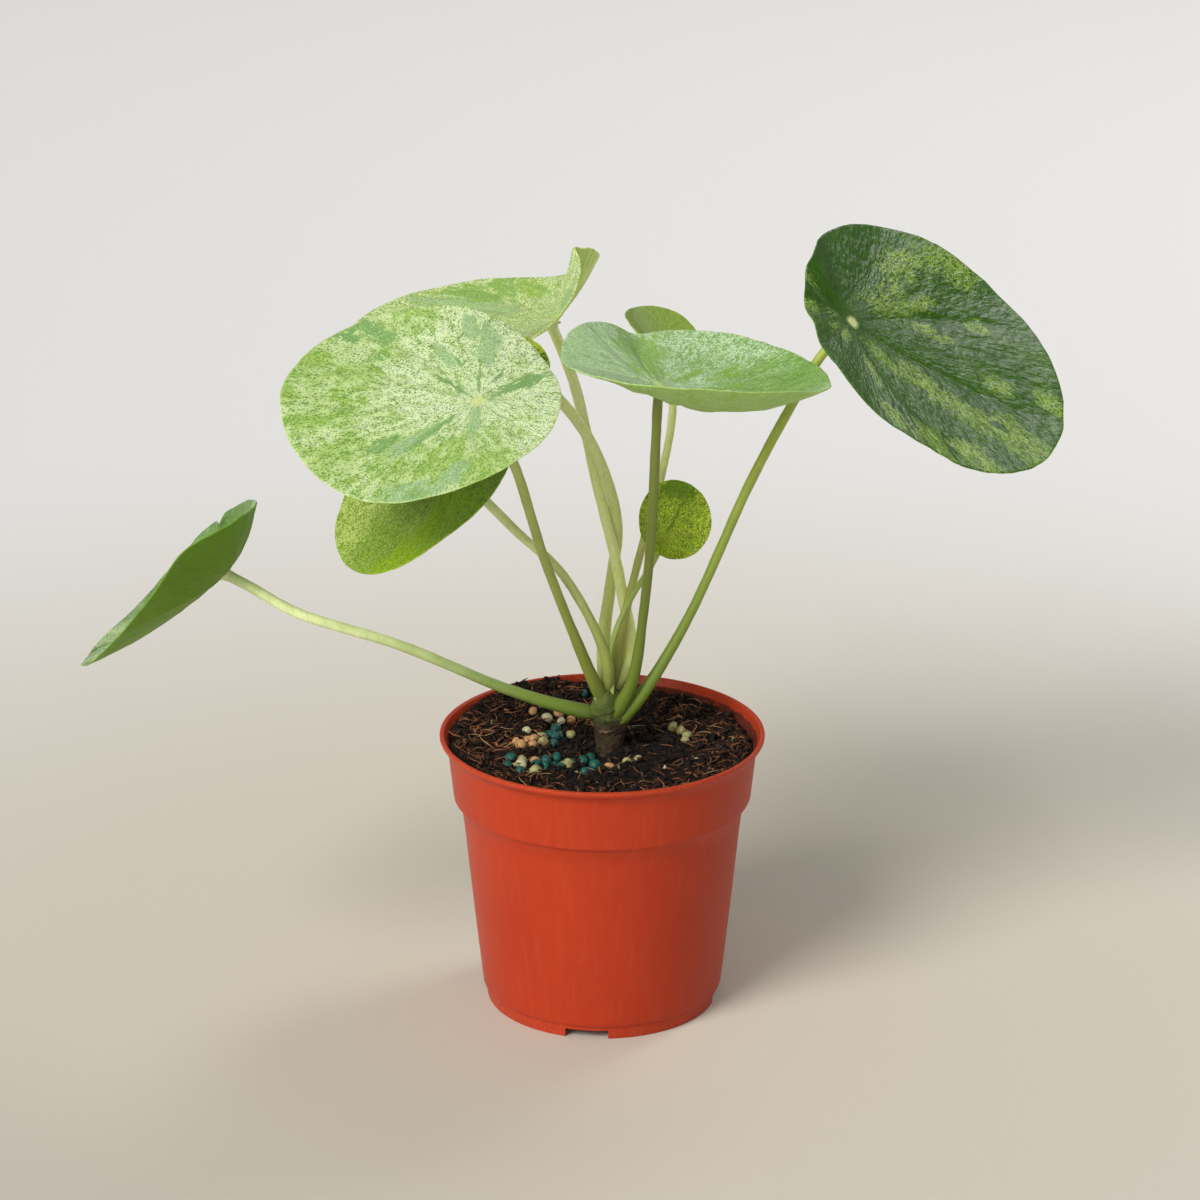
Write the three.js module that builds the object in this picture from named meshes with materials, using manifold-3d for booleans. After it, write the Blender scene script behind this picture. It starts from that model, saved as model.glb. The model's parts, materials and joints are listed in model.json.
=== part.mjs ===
// A variegated pilea in its nursery pot: thin moulded pot, soil dressed with feed grains,
// one short stem, and nine round leaves, each a blade carried near one side by a long stalk.
// Millimetres, +Z up, the pot standing on z = 0. +X is to the viewer's right, +Y away from the viewer.
import * as THREE from "three";
import { ParametricGeometry } from "three/addons/geometries/ParametricGeometry.js";
import { mergeVertices } from "three/addons/utils/BufferGeometryUtils.js";
import Module from "manifold-3d";

const wasm = await Module();
wasm.setup();

const GAP = 0.3; // left between pieces that grow out of, or lie on, one another

// the pot: a 4 inch nursery pot
const POT = {
  height: 89,
  lipRadius: 51,
  lipThickness: 1,
  collarTop: 48.3, // outer radius just under the lip
  collarBottom: 46.8,
  collarHeight: 20.4, // from the rim down to the collar's lower edge
  shoulderDrop: 5.8, // the slope from the collar in to the wall
  wallTop: 43.9,
  wallBottom: 38,
  footRadius: 36.8,
  footHeight: 4.5,
  footWidth: 2.4,
  wall: 1.3,
  floor: 1.5,
  notchWidth: 13.5,
  notchHeight: 3,
  notchTurn: -7.7, // degrees the front notch lies off the front
  notches: 4,
  drainRadius: 3.5,
  drainCircle: 24,
  drains: 8,
};

const SOIL = { level: 81.6, wallRise: 2.4, bumps: 0.5, mound: { x: -20, y: 33, rise: 3.4, spread: 15 } };

// feed grains lie mostly to the left of the stem
const GRAINS = { count: 38, radius: 1.4, x: -17, y: 4, spreadX: 10, spreadY: 13, sunk: 0.5, seed: 7 };

const STEM = { x: 1.8, y: 0, foot: 64, top: 104, radius: 4.3, crownRadius: 3.6, scar: 0.35, scars: 5 };

const BLADE_THICKNESS = 0.8;
const STALK = { base: 2.1, tip: 1.25, taper: 0.3, sides: 8, rings: 10 };

// Each leaf. The blade is a near ellipse, length by width, and its stalk joins it at the navel, `base` in
// from its near end. at: the navel. faces: the compass bearing and height, in degrees, that the blade looks
// toward. tip: the bearing of its long end. lift: how far the margin rises from the blade's plane at eight
// even directions, counted anticlockwise from the tip. curl: above 1, more of that rise is near the margin.
// stalk: the points that the stalk passes through, from inside the stem outward.
const LEAVES = {
  far_left: {
    at: [-116.5, -8, 144.5], faces: [182, 48], tip: 183, length: 76, width: 70, base: 24, curl: 1.8,
    lift: [8.5, 13.5, 19, 13.5, 9, 8, 7, 4.5],
    stalk: [[0, -0.5, 94.5], [-13, -4, 99], [-30, -6, 105.5], [-62.5, -9, 121], [-94, -11, 132.5], [-108, -10, 140.5]],
    thick: 1.1,
  },
  front_left: {
    at: [-36.5, -40, 209], faces: [-99, 64], tip: 181, length: 82.5, width: 81, base: 24.5, curl: 1.6,
    lift: [4.5, -2, 3, 1.5, -0.5, -3, 3, 2],
    stalk: [[1, -1, 98], [-4.5, -6, 112.5], [-17.5, -19, 152.5], [-26, -33.5, 187], [-31, -38.5, 199.5]],
    thick: 1,
  },
  right: {
    at: [76.5, 15, 217.5], faces: [-35, 44], tip: 5, length: 101.5, width: 93.5, base: 21, curl: 1.6,
    lift: [6.5, 4, 3, 4.5, 2.5, 3, 4, 6], ripple: { waves: 9, height: 0.5 },
    stalk: [[2.5, -0.5, 90], [12, -2, 101.5], [26.5, 1, 126], [46, 8, 169], [59, 12, 193.5], [67.5, 14.5, 207.5]],
    thick: 1,
  },
  centre: {
    at: [17, -18, 207.5], faces: [-10, 63], tip: 8, length: 83, width: 77, base: 31, curl: 2.5,
    lift: [22.5, 14, 2, 0.5, -4.5, 4, 16, 24],
    stalk: [[2.5, -1.5, 92.5], [9, -5, 106.5], [13, -8, 134], [15, -12, 160], [16.5, -17, 199.5]],
    thick: 1,
  },
  lower_left: {
    at: [-45.5, -15, 182.5], faces: [-129, 49], tip: -145, length: 66.5, width: 56, base: 22, curl: 1.6,
    lift: [-2, 5, 4, 2.5, 2.5, 2, 0.5, -2],
    stalk: [[1.8, -0.5, 101], [1, -4.5, 116], [-12.5, -10, 145], [-25.5, -12, 158.5], [-37, -12.5, 171]],
    thick: 0.95,
  },
  small_round: {
    at: [19, 8, 149.5], faces: [-116, 15], tip: 57, length: 24.5, width: 25, base: 4.6, curl: 1.6,
    lift: [1, 0, 0.5, 2, 2, 2, 1, 0.5], young: true,
    stalk: [[2.8, -0.5, 101], [2.5, -4.5, 117.5], [8.5, 0, 132.5], [14, 6, 139.5], [18, 10.5, 146]],
    thick: 0.65,
  },
  rear_small: {
    at: [21, 36, 202], faces: [-35, 60], tip: 141, length: 27, width: 26, base: 8, curl: 1.5,
    lift: [2.5, 5, 4.5, 4, 4, 4.5, 5.5, 5], young: true,
    stalk: [[2.8, 0.5, 101], [6.5, 4, 123], [12.5, 13, 146], [18.5, 21, 166.5], [22, 29, 185]],
    thick: 0.75,
  },
  rear_left: {
    at: [-16.5, 40, 211], faces: [-77, 92], tip: 172, length: 91, width: 76, base: 25.5, curl: 1.5,
    lift: [-5.5, -3.5, 3, 23.5, 22, 21.5, 7, 3],
    stalk: [[2.5, 1, 101], [8.5, 5, 112.5], [5.5, 10, 135.5], [-0.5, 17, 166], [-9, 30, 194.5], [-15, 38, 208]],
    thick: 0.95,
  },
  shaded: {
    at: [-26.5, -8, 208.5], faces: [-99, 62], tip: 181, length: 36, width: 33, base: 11, curl: 1.6,
    lift: [3, 2, 2, 2, 1, 2, 2, 3], young: true,
    stalk: [[1.5, 1, 101], [0.5, 9, 116], [3, 15, 135.5], [3.5, 15, 150.5], [-4, 10, 181.5], [-20.5, -2, 205]],
    thick: 0.9,
  },
};

const COLOURS = { pot: 0xb9462a, soil: 0x33261e, stem: 0x5f5a35, stalk: 0x8ea35a, blade: 0xa9bf7c, young: 0x8aa02e };

const radians = THREE.MathUtils.degToRad;

// ---- solids ----

const plain = (geometry) => {
  geometry.deleteAttribute("normal");
  geometry.deleteAttribute("uv");
  return mergeVertices(geometry, 1e-4);
};

const solid = (geometry) => {
  const merged = plain(geometry);
  const index = [];
  for (let i = 0; i < merged.index.count; i += 3) {
    const [a, b, c] = [0, 1, 2].map((k) => merged.index.getX(i + k));
    if (a !== b && b !== c && c !== a) index.push(a, b, c);
  }
  return new wasm.Manifold(
    new wasm.Mesh({
      numProp: 3,
      vertProperties: new Float32Array(merged.attributes.position.array),
      triVerts: new Uint32Array(index),
    }),
  );
};

const shape = (body) => {
  const mesh = body.getMesh();
  const geometry = new THREE.BufferGeometry();
  geometry.setAttribute("position", new THREE.BufferAttribute(new Float32Array(mesh.vertProperties), 3));
  geometry.setIndex(new THREE.BufferAttribute(new Uint32Array(mesh.triVerts), 1));
  geometry.computeVertexNormals();
  return geometry;
};

// what is left of a cut piece once any crumbs have gone
const largest = (body) => body.decompose().sort((a, b) => b.volume() - a.volume())[0];

const random = (seed) => {
  let state = seed;
  return () => (state = (state * 1664525 + 1013904223) % 4294967296) / 4294967296;
};

// turns a profile of [radius, height] points about the Z axis
const turned = (profile, segments) =>
  new THREE.LatheGeometry(profile.map(([r, z]) => new THREE.Vector2(r, z)), segments).rotateX(Math.PI / 2);

// a rod along a curve with closed flat ends, its radius given along the way
function rod(curve, radiusAt, sides, rings) {
  const frames = curve.computeFrenetFrames(rings);
  const stations = [0, ...Array.from({ length: rings + 1 }, (_, i) => i), rings];
  const last = stations.length - 1;
  return new ParametricGeometry(
    (u, v, target) => {
      const k = Math.round(v * last);
      const ring = stations[k];
      const radius = k === 0 || k === last ? 0 : radiusAt(ring / rings);
      const turn = u * 2 * Math.PI;
      curve.getPointAt(ring / rings, target);
      target.addScaledVector(frames.normals[ring], radius * Math.cos(turn));
      target.addScaledVector(frames.binormals[ring], radius * Math.sin(turn));
    },
    sides,
    last,
  );
}

// ---- the pot ----

const rimZ = POT.height;
const collarZ = rimZ - POT.collarHeight;
const shoulderZ = collarZ - POT.shoulderDrop;
const floorZ = POT.footHeight + POT.floor;

// the inside of the wall, from the floor up to just under the rim
const POT_INSIDE = [
  [POT.wallBottom - POT.wall, floorZ],
  [POT.wallTop - POT.wall, shoulderZ],
  [POT.collarBottom - POT.wall, collarZ + 0.3],
  [POT.collarTop - POT.wall, rimZ - 6.5],
  [POT.collarTop, rimZ - 2.6],
];

function pot() {
  const footInside = POT.footRadius - POT.footWidth;
  const profile = [
    [0, POT.footHeight],
    [footInside - 0.2, POT.footHeight],
    [footInside, 0],
    [POT.footRadius, 0],
    [POT.footRadius + 0.3, POT.footHeight - 0.5],
    [POT.wallBottom, POT.footHeight],
    [POT.wallTop, shoulderZ],
    [POT.collarBottom, collarZ],
    [POT.collarTop, rimZ - 6.5],
    [POT.collarTop + 0.9, rimZ - 2.6],
    [POT.lipRadius - 0.1, rimZ - POT.lipThickness - 0.2],
    [POT.lipRadius, rimZ - 0.5],
    [POT.lipRadius - 0.5, rimZ],
    [POT.lipRadius - 1.8, rimZ],
    ...POT_INSIDE.toReversed(),
    [0, floorZ],
  ];
  let body = solid(turned(profile, 48));
  for (let i = 0; i < POT.notches; i++) {
    const notch = new THREE.BoxGeometry(POT.notchWidth, 10, 2 * POT.notchHeight);
    notch.translate(0, -POT.footRadius, 0).rotateZ(radians(POT.notchTurn + (360 * i) / POT.notches));
    body = body.subtract(solid(notch));
  }
  for (let i = 0; i < POT.drains; i++) {
    const drain = new THREE.CylinderGeometry(POT.drainRadius, POT.drainRadius, 10, 16).rotateX(Math.PI / 2);
    drain.translate(POT.drainCircle, 0, POT.footHeight).rotateZ((2 * Math.PI * i) / POT.drains);
    body = body.subtract(solid(drain));
  }
  return body;
}

// ---- the soil ----

function soilHeight(x, y) {
  const r = Math.hypot(x, y) / 46;
  const m = SOIL.mound;
  const mound = m.rise * Math.exp(-((x - m.x) ** 2 + (y - m.y) ** 2) / (2 * m.spread ** 2));
  const bumps = Math.sin(0.31 * x + 0.9) * Math.cos(0.27 * y) + 0.7 * Math.sin(0.47 * y - 0.38 * x);
  return SOIL.level + SOIL.wallRise * r ** 2 + mound + SOIL.bumps * bumps;
}

function soil(stemHole) {
  const edge = POT_INSIDE.slice(0, 4).map(([r, z]) => [r - GAP, z]);
  const rings = [46.7, 41, 35, 29, 23, 17, 11, 5.5];
  const top = rings.map((r) => [r, SOIL.level]);
  const geometry = turned([[0, floorZ], ...edge, ...top, [0, SOIL.level]], 32);
  const places = geometry.attributes.position;
  for (let i = 0; i < places.count; i++) {
    if (places.getZ(i) < SOIL.level - 1e-3) continue;
    places.setZ(i, soilHeight(places.getX(i), places.getY(i)));
  }
  let body = solid(geometry);
  const draw = random(GRAINS.seed);
  const near = () => draw() + draw() + draw() - 1.5; // gathers near nought
  for (let i = 0; i < GRAINS.count; i++) {
    const [x, y] = [GRAINS.x + 1.6 * GRAINS.spreadX * near(), GRAINS.y + 1.6 * GRAINS.spreadY * near()];
    const radius = GRAINS.radius * (0.85 + 0.3 * draw());
    const grain = new THREE.IcosahedronGeometry(radius, 0).rotateZ(i);
    grain.translate(x, y, soilHeight(x, y) + radius - GRAINS.sunk - 0.4);
    if (Math.hypot(x, y) < 42) body = body.add(solid(grain));
  }
  return largest(body.subtract(stemHole));
}

// ---- stem, stalks and blades ----

function stem(grow = 0) {
  const { x, y, foot, top, radius, crownRadius, scar, scars } = STEM;
  const axis = new THREE.LineCurve3(
    new THREE.Vector3(x + 0.6, y, foot - grow),
    new THREE.Vector3(x, y, top + grow),
  );
  const radiusAt = (t) => {
    const round = t > 0.9 ? 1 - 0.45 * ((t - 0.9) / 0.1) ** 2 : 1;
    const ridges = scar * Math.max(0, Math.cos(2 * Math.PI * scars * t)) ** 4;
    return (THREE.MathUtils.lerp(radius, crownRadius, t ** 3) + ridges) * round + grow;
  };
  return solid(rod(axis, radiusAt, 12, 15));
}

const toVector = (point) => new THREE.Vector3(...point);

const bearing = (heading, height) =>
  new THREE.Vector3(
    Math.cos(radians(height)) * Math.cos(radians(heading)),
    Math.cos(radians(height)) * Math.sin(radians(heading)),
    Math.sin(radians(height)),
  );

// the blade's own axes: x toward the tip, z the way it faces
function bladeFrame(leaf) {
  const facing = bearing(...leaf.faces);
  const tip = bearing(leaf.tip, 0);
  tip.addScaledVector(facing, -tip.dot(facing)).normalize();
  return new THREE.Matrix4().makeBasis(tip, facing.clone().cross(tip), facing).setPosition(...leaf.at);
}

function stalk(leaf, grow = 0) {
  const curve = new THREE.CatmullRomCurve3([...leaf.stalk, leaf.at].map(toVector));
  const radiusAt = (t) =>
    leaf.thick * THREE.MathUtils.lerp(STALK.base, STALK.tip, Math.min(1, t / STALK.taper) ** 0.7) + grow;
  return solid(rod(curve, radiusAt, STALK.sides, STALK.rings));
}

// distance from the navel to the margin, in the direction given
function reach({ length, width, base }, direction) {
  const offset = length / 2 - base;
  const [along, across] = [length / 2, width / 2];
  const a = Math.cos(direction) ** 2 / along ** 2 + Math.sin(direction) ** 2 / across ** 2;
  const b = (-2 * offset * Math.cos(direction)) / along ** 2;
  const c = (offset / along) ** 2 - 1;
  return (-b + Math.sqrt(b * b - 4 * a * c)) / (2 * a);
}

// the margin's lift between the eight directions, as a smooth closed curve
function liftAt({ lift, ripple }, direction) {
  const turn = (((direction / (2 * Math.PI)) % 1) + 1) % 1;
  const from = Math.floor(turn * 8);
  const t = turn * 8 - from;
  const [p0, p1, p2, p3] = [7, 0, 1, 2].map((step) => lift[(from + step) % 8]);
  const smooth =
    0.5 * (2 * p1 + (p2 - p0) * t + (2 * p0 - 5 * p1 + 4 * p2 - p3) * t ** 2 + (3 * p1 - p0 - 3 * p2 + p3) * t ** 3);
  return smooth + (ripple ? ripple.height * Math.sin(ripple.waves * direction) : 0);
}

// a thin solid on both sides of a sheet, split into triangles alike on both faces
function thicken(sheet, thickness) {
  const middle = plain(sheet);
  const count = middle.attributes.position.count;
  const triangles = [];
  for (let i = 0; i < middle.index.count; i += 3) {
    const [a, b, c] = [0, 1, 2].map((k) => middle.index.getX(i + k));
    if (a !== b && b !== c && c !== a) triangles.push([a, b, c]);
  }
  middle.setIndex(triangles.flat());
  middle.computeVertexNormals();
  const places = [];
  for (const side of [0.5, -0.5]) {
    for (let i = 0; i < count; i++) {
      const point = new THREE.Vector3().fromBufferAttribute(middle.attributes.position, i);
      const normal = new THREE.Vector3().fromBufferAttribute(middle.attributes.normal, i);
      places.push(...point.addScaledVector(normal, side * thickness));
    }
  }
  const edges = new Set(triangles.flatMap(([a, b, c]) => [`${a},${b}`, `${b},${c}`, `${c},${a}`]));
  const index = triangles.flatMap(([a, b, c]) => [a, b, c, a + count, c + count, b + count]);
  for (const edge of edges) {
    const [a, b] = edge.split(",").map(Number);
    if (!edges.has(`${b},${a}`)) index.push(b, a, a + count, b, a + count, b + count);
  }
  const geometry = new THREE.BufferGeometry();
  geometry.setAttribute("position", new THREE.Float32BufferAttribute(places, 3));
  geometry.setIndex(index);
  return geometry;
}

function blade(leaf, grow = 0) {
  const frame = bladeFrame(leaf);
  const [spokes, rings] = leaf.young ? [20, 4] : [leaf.ripple ? 36 : 28, 5];
  const sheet = new ParametricGeometry(
    (u, v, target) => {
      const direction = 2 * Math.PI * (u % 1);
      const lift = liftAt(leaf, direction);
      const ribLength = reach(leaf, direction);
      const run = v * Math.sqrt(Math.max(ribLength ** 2 - lift ** 2, (0.3 * ribLength) ** 2));
      target.set(run * Math.cos(direction), run * Math.sin(direction), lift * v ** leaf.curl);
      target.applyMatrix4(frame);
    },
    spokes,
    rings,
  );
  return solid(thicken(sheet, BLADE_THICKNESS + 2 * grow));
}

// ---- the plant ----

const plant = new THREE.Group();

function place(name, body, color, roughness) {
  const mesh = new THREE.Mesh(shape(body), new THREE.MeshStandardMaterial({ color, roughness, metalness: 0 }));
  mesh.name = name;
  plant.add(mesh);
}

place("pot", pot(), COLOURS.pot, 0.45);
place("soil", soil(stem(GAP)), COLOURS.soil, 0.95);
place("stem", stem(), COLOURS.stem, 0.7);

// where stalks crowd at the crown, each makes room for those already there
let taken = stem(GAP);
for (const [name, leaf] of Object.entries(LEAVES)) {
  const clear = stalk(leaf).subtract(taken).subtract(blade(leaf, GAP));
  place(`stalk_${name}`, largest(clear), COLOURS.stalk, 0.45);
  taken = taken.add(stalk(leaf, GAP));
}
for (const [name, leaf] of Object.entries(LEAVES)) {
  place(`blade_${name}`, blade(leaf), leaf.young ? COLOURS.young : COLOURS.blade, 0.35);
}

// the origin is under the middle of the whole plant's width and depth, on the ground
const middle = new THREE.Box3().setFromObject(plant).getCenter(new THREE.Vector3());
plant.position.set(-middle.x, -middle.y, 0);

export default plant;
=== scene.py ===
import json
import math
import bpy
import bmesh
import numpy as np
from mathutils import Matrix, Vector, noise

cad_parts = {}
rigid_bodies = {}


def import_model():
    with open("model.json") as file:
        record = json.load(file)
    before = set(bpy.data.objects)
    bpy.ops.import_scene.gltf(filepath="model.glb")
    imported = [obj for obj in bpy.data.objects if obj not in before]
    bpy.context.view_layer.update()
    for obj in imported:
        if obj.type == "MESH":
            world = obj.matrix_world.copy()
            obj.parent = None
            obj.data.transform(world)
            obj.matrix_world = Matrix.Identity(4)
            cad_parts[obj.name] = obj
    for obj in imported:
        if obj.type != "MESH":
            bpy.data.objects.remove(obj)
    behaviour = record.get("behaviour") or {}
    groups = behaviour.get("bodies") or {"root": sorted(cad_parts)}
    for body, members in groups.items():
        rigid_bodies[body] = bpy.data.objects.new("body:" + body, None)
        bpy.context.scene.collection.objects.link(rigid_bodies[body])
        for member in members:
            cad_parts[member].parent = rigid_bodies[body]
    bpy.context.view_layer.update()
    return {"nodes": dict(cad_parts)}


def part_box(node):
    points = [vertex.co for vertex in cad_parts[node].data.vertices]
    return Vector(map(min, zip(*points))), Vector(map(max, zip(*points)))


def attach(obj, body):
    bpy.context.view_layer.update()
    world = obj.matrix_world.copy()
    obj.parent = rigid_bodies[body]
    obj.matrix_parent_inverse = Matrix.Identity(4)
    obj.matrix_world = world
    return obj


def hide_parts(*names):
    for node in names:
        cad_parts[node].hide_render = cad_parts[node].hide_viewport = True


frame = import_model()
print("frame loaded:", len(frame["nodes"]), "nodes")

mm = 0.001
potLow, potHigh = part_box("pot")
potAxis = Vector(((potLow.x + potHigh.x) / 2, (potLow.y + potHigh.y) / 2, 0))  # the pot's middle, on the floor


def paint(red, green, blue):
    # a screen colour, 0 to 255, as the linear colour that the shaders want
    def linear(level):
        level /= 255
        return level / 12.92 if level < 0.04045 else ((level + 0.055) / 1.055) ** 2.4
    return (linear(red), linear(green), linear(blue), 1.0)


class Field:
    # one output of a node: + - * / put a Math node behind it, and field[name] is the node's other output
    def __init__(self, socket):
        self.socket, self.tree = socket, socket.id_data

    def __getitem__(self, name):
        return Field(self.socket.node.outputs[name])

    __add__ = lambda self, other: calc("ADD", self, other)
    __radd__ = lambda self, other: calc("ADD", other, self)
    __sub__ = lambda self, other: calc("SUBTRACT", self, other)
    __rsub__ = lambda self, other: calc("SUBTRACT", other, self)
    __mul__ = lambda self, other: calc("MULTIPLY", self, other)
    __truediv__ = lambda self, other: calc("DIVIDE", self, other)
    __rtruediv__ = lambda self, other: calc("DIVIDE", other, self)


def treeOf(*values):
    return next(value.tree for value in values if isinstance(value, Field))


def feed(socket, value):
    # links a field to an input, or sets the input's own value; colours are given as on screen
    if isinstance(value, Field):
        value.tree.links.new(value.socket, socket)
    else:
        socket.default_value = paint(*value) if socket.type == "RGBA" else value


def feedAll(node, values):
    for name, value in values.items():
        feed(node.inputs[name], value)


def addNode(tree, kind, inputs=None, **settings):
    node = tree.nodes.new(kind)
    for name, value in settings.items():
        setattr(node, name, value)
    feedAll(node, inputs or {})
    return Field(node.outputs[0])


def calc(operation, *values, clamp=False):
    return addNode(treeOf(*values), "ShaderNodeMath", dict(enumerate(values)), operation=operation, use_clamp=clamp)


def vectorCalc(operation, *values, **more):
    inputs = {**dict(enumerate(values)), **more}
    return addNode(values[0].tree, "ShaderNodeVectorMath", inputs, operation=operation)


def joined(tree, x=0.0, y=0.0, z=0.0):
    return addNode(tree, "ShaderNodeCombineXYZ", {0: x, 1: y, 2: z})


def mapped(place, **changes):
    return addNode(place.tree, "ShaderNodeMapping", {"Vector": place, **changes})


def fade(value, low, high):
    # 0 below low, 1 above high, smooth between
    return addNode(value.tree, "ShaderNodeMapRange", {"Value": value, "From Min": low, "From Max": high},
                   interpolation_type="SMOOTHSTEP")


def noiseField(place, scale, detail=2.0, rough=0.5):
    return addNode(place.tree, "ShaderNodeTexNoise", {"Vector": place, "Scale": scale, "Detail": detail,
                                                      "Roughness": rough})


def layered(colour, *layers):
    # a colour with others laid over it, each by its own share
    for share, over in layers:
        tree = treeOf(share, colour, over)
        colour = addNode(tree, "ShaderNodeMix", {0: share, 6: colour, 7: over}, data_type="RGBA")[2]
    return colour


def newGroup(name, kind, inputs, outputs):
    # a node group with named sockets: a number is an input's default, a word is a socket's type
    tree = bpy.data.node_groups.new(name, kind)
    for way, sockets in (("INPUT", inputs), ("OUTPUT", outputs)):
        for label, given in sockets.items():
            word = given if isinstance(given, str) else "Int" if isinstance(given, int) else "Float"
            socket = tree.interface.new_socket(label, in_out=way, socket_type="NodeSocket" + word)
            if word != given:
                socket.default_value = given
    return tree, Field(tree.nodes.new("NodeGroupInput").outputs[0]), tree.nodes.new("NodeGroupOutput")


def useGroup(tree, group, inputs):
    return addNode(tree, "ShaderNodeGroup", inputs, node_tree=group)


def closeTree(tree, geometry, given, result):
    # the end of each Geometry Nodes tree
    plain = addNode(tree, "GeometryNodeRealizeInstances", {0: geometry})
    finished = addNode(tree, "GeometryNodeSetMaterial", {"Geometry": plain, "Material": given["Material"]})
    feed(result.inputs["Geometry"], finished)
    return tree


def newMaterial(name, **constants):
    # a material with one Principled shader, its constants on the shader's own sockets
    material = bpy.data.materials.new(name)
    material.use_nodes = True
    shader = material.node_tree.nodes["Principled BSDF"]
    feedAll(shader, {label.replace("_", " "): value for label, value in constants.items()})
    return material, material.node_tree, shader


def addBump(shader, height, depth, strength=1.0):
    bump = {"Height": height, "Distance": depth, "Strength": strength}
    feed(shader.inputs["Normal"], addNode(height.tree, "ShaderNodeBump", bump))


def attribute(tree, name, output="Fac"):
    return addNode(tree, "ShaderNodeAttribute", attribute_name=name)[output]


def pointValue(tree, name):
    # an attribute, read in Geometry Nodes
    return addNode(tree, "GeometryNodeInputNamedAttribute", {"Name": name}, data_type="FLOAT")["Attribute"]


def newObject(name, data):
    thing = bpy.data.objects.new(name, data)
    bpy.context.scene.collection.objects.link(thing)
    return thing


def toFrame(points):
    # millimetres about the pot's axis to metres in the frame
    return np.asarray(points, float) * mm + np.array(potAxis)


def meshFrom(name, points, faces):
    mesh = bpy.data.meshes.new(name)
    mesh.from_pydata([tuple(p) for p in points], [], [tuple(f) for f in faces])
    mesh.validate()
    mesh.update()
    return mesh


def meshOf(name, work):
    mesh = bpy.data.meshes.new(name)
    work.to_mesh(mesh)
    work.free()
    return mesh


def smooth(mesh, edgeAngle=None):
    mesh.polygons.foreach_set("use_smooth", [True] * len(mesh.polygons))
    if edgeAngle is not None:
        mesh.set_sharp_from_angle(angle=math.radians(edgeAngle))
    mesh.update()


def putAttribute(mesh, name, values, kind="FLOAT"):
    store = mesh.attributes.new(name, kind, "POINT")
    store.data.foreach_set("value" if kind == "FLOAT" else "vector", np.asarray(values, np.float32).ravel())


def grow(thing, tree, values):
    # runs a Geometry Nodes tree on an object, inputs set by socket identifier, and keeps the result as a plain mesh
    modifier = thing.modifiers.new("build", "NODES")
    modifier.node_group = tree
    for item in tree.interface.items_tree:
        if item.in_out == "INPUT" and item.name in values:
            modifier[item.identifier] = values[item.name]
    bpy.context.view_layer.update()
    result = bpy.data.meshes.new_from_object(thing.evaluated_get(bpy.context.evaluated_depsgraph_get()))
    thing.modifiers.remove(modifier)
    old, thing.data = thing.data, result
    bpy.data.meshes.remove(old)
    result.name = thing.name


def finishPiece(piece, slotName, *nodes):
    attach(piece, "root")
    if nodes:
        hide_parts(*nodes)


def finishMesh(mesh, material, slotName, *nodes):
    mesh.materials.append(material)
    finishPiece(newObject(mesh.name, mesh), slotName, *nodes)


def lattice(x, y, z, seed):
    # a repeatable value from 0 to 1 for each whole-numbered corner
    n = (x * 374761393 + y * 668265263 + z * 1274126177 + seed * 97471) & 0xFFFFFFFF
    n = ((n ^ (n >> 13)) * 1274126177) & 0xFFFFFFFF
    return ((n ^ (n >> 16)) & 0xFFFFFF) / 0xFFFFFF


def softNoise(points, size, seed=0):
    # smooth noise from -1 to 1 with bumps about as wide as size, for an array of points
    p = np.asarray(points, float) / size + 50.37
    whole = np.floor(p).astype(np.int64)
    part = p - whole
    part = part * part * (3 - 2 * part)
    total = np.zeros(p.shape[:-1])
    for corner in range(8):
        step = [(corner >> k) & 1 for k in range(3)]
        weight = np.ones(p.shape[:-1])
        for k in range(3):
            weight = weight * (part[..., k] if step[k] else 1 - part[..., k])
        total += weight * lattice(*[whole[..., k] + step[k] for k in range(3)], seed)
    return total * 2 - 1


def apart(turn, direction):
    # the angle from a direction, from minus to plus half a turn
    return (turn - direction + math.pi) % (2 * math.pi) - math.pi


def belt(lower, upper, count, flip=False):
    # quads between two rings of points, each given by its first point
    pairs = [(k, (k + 1) % count) for k in range(count)]
    if flip:
        return [(lower + k, lower + n, upper + n, upper + k) for k, n in pairs]
    return [(lower + k, upper + k, upper + n, lower + n) for k, n in pairs]


def fan(centre, ring, count, flip=False):
    # triangles from one point to a ring
    return [(centre, ring + (k + flip) % count, ring + (k + 1 - flip) % count) for k in range(count)]


def lathe(profile, segments):
    # turns a closed profile of (radius, height) points about Z; a radius of 0 makes a pole
    turns = [2 * math.pi * k / segments for k in range(segments)]
    points, faces, last, lastRadius = [], [], None, None
    for radius, height in profile:
        start = len(points)
        points += [(radius * math.cos(t), radius * math.sin(t), height) for t in (turns if radius else turns[:1])]
        if last is not None:
            if not lastRadius:
                faces += fan(last, start, segments, True)
            elif not radius:
                faces += fan(start, last, segments)
            else:
                faces += belt(last, start, segments, True)
        last, lastRadius = start, radius
    return points, faces


def makeMottle():
    # slow change of tone with finer grain in it
    tree, given, result = newGroup("mottle", "ShaderNodeTree", {
        "Vector": "Vector", "Size": 0.01, "Grain": 0.001, "Seed": 0.0}, {"Tone": "Float", "Grain": "Float"})
    seed = given["Seed"]
    place = vectorCalc("ADD", given["Vector"], joined(tree, seed, seed, seed))
    feedAll(result, {"Tone": fade(noiseField(place, 1.0 / given["Size"], 3.0, 0.55), 0.3, 0.7),
                     "Grain": noiseField(place, 1.0 / given["Grain"], 3.0, 0.6)})
    return tree


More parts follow.
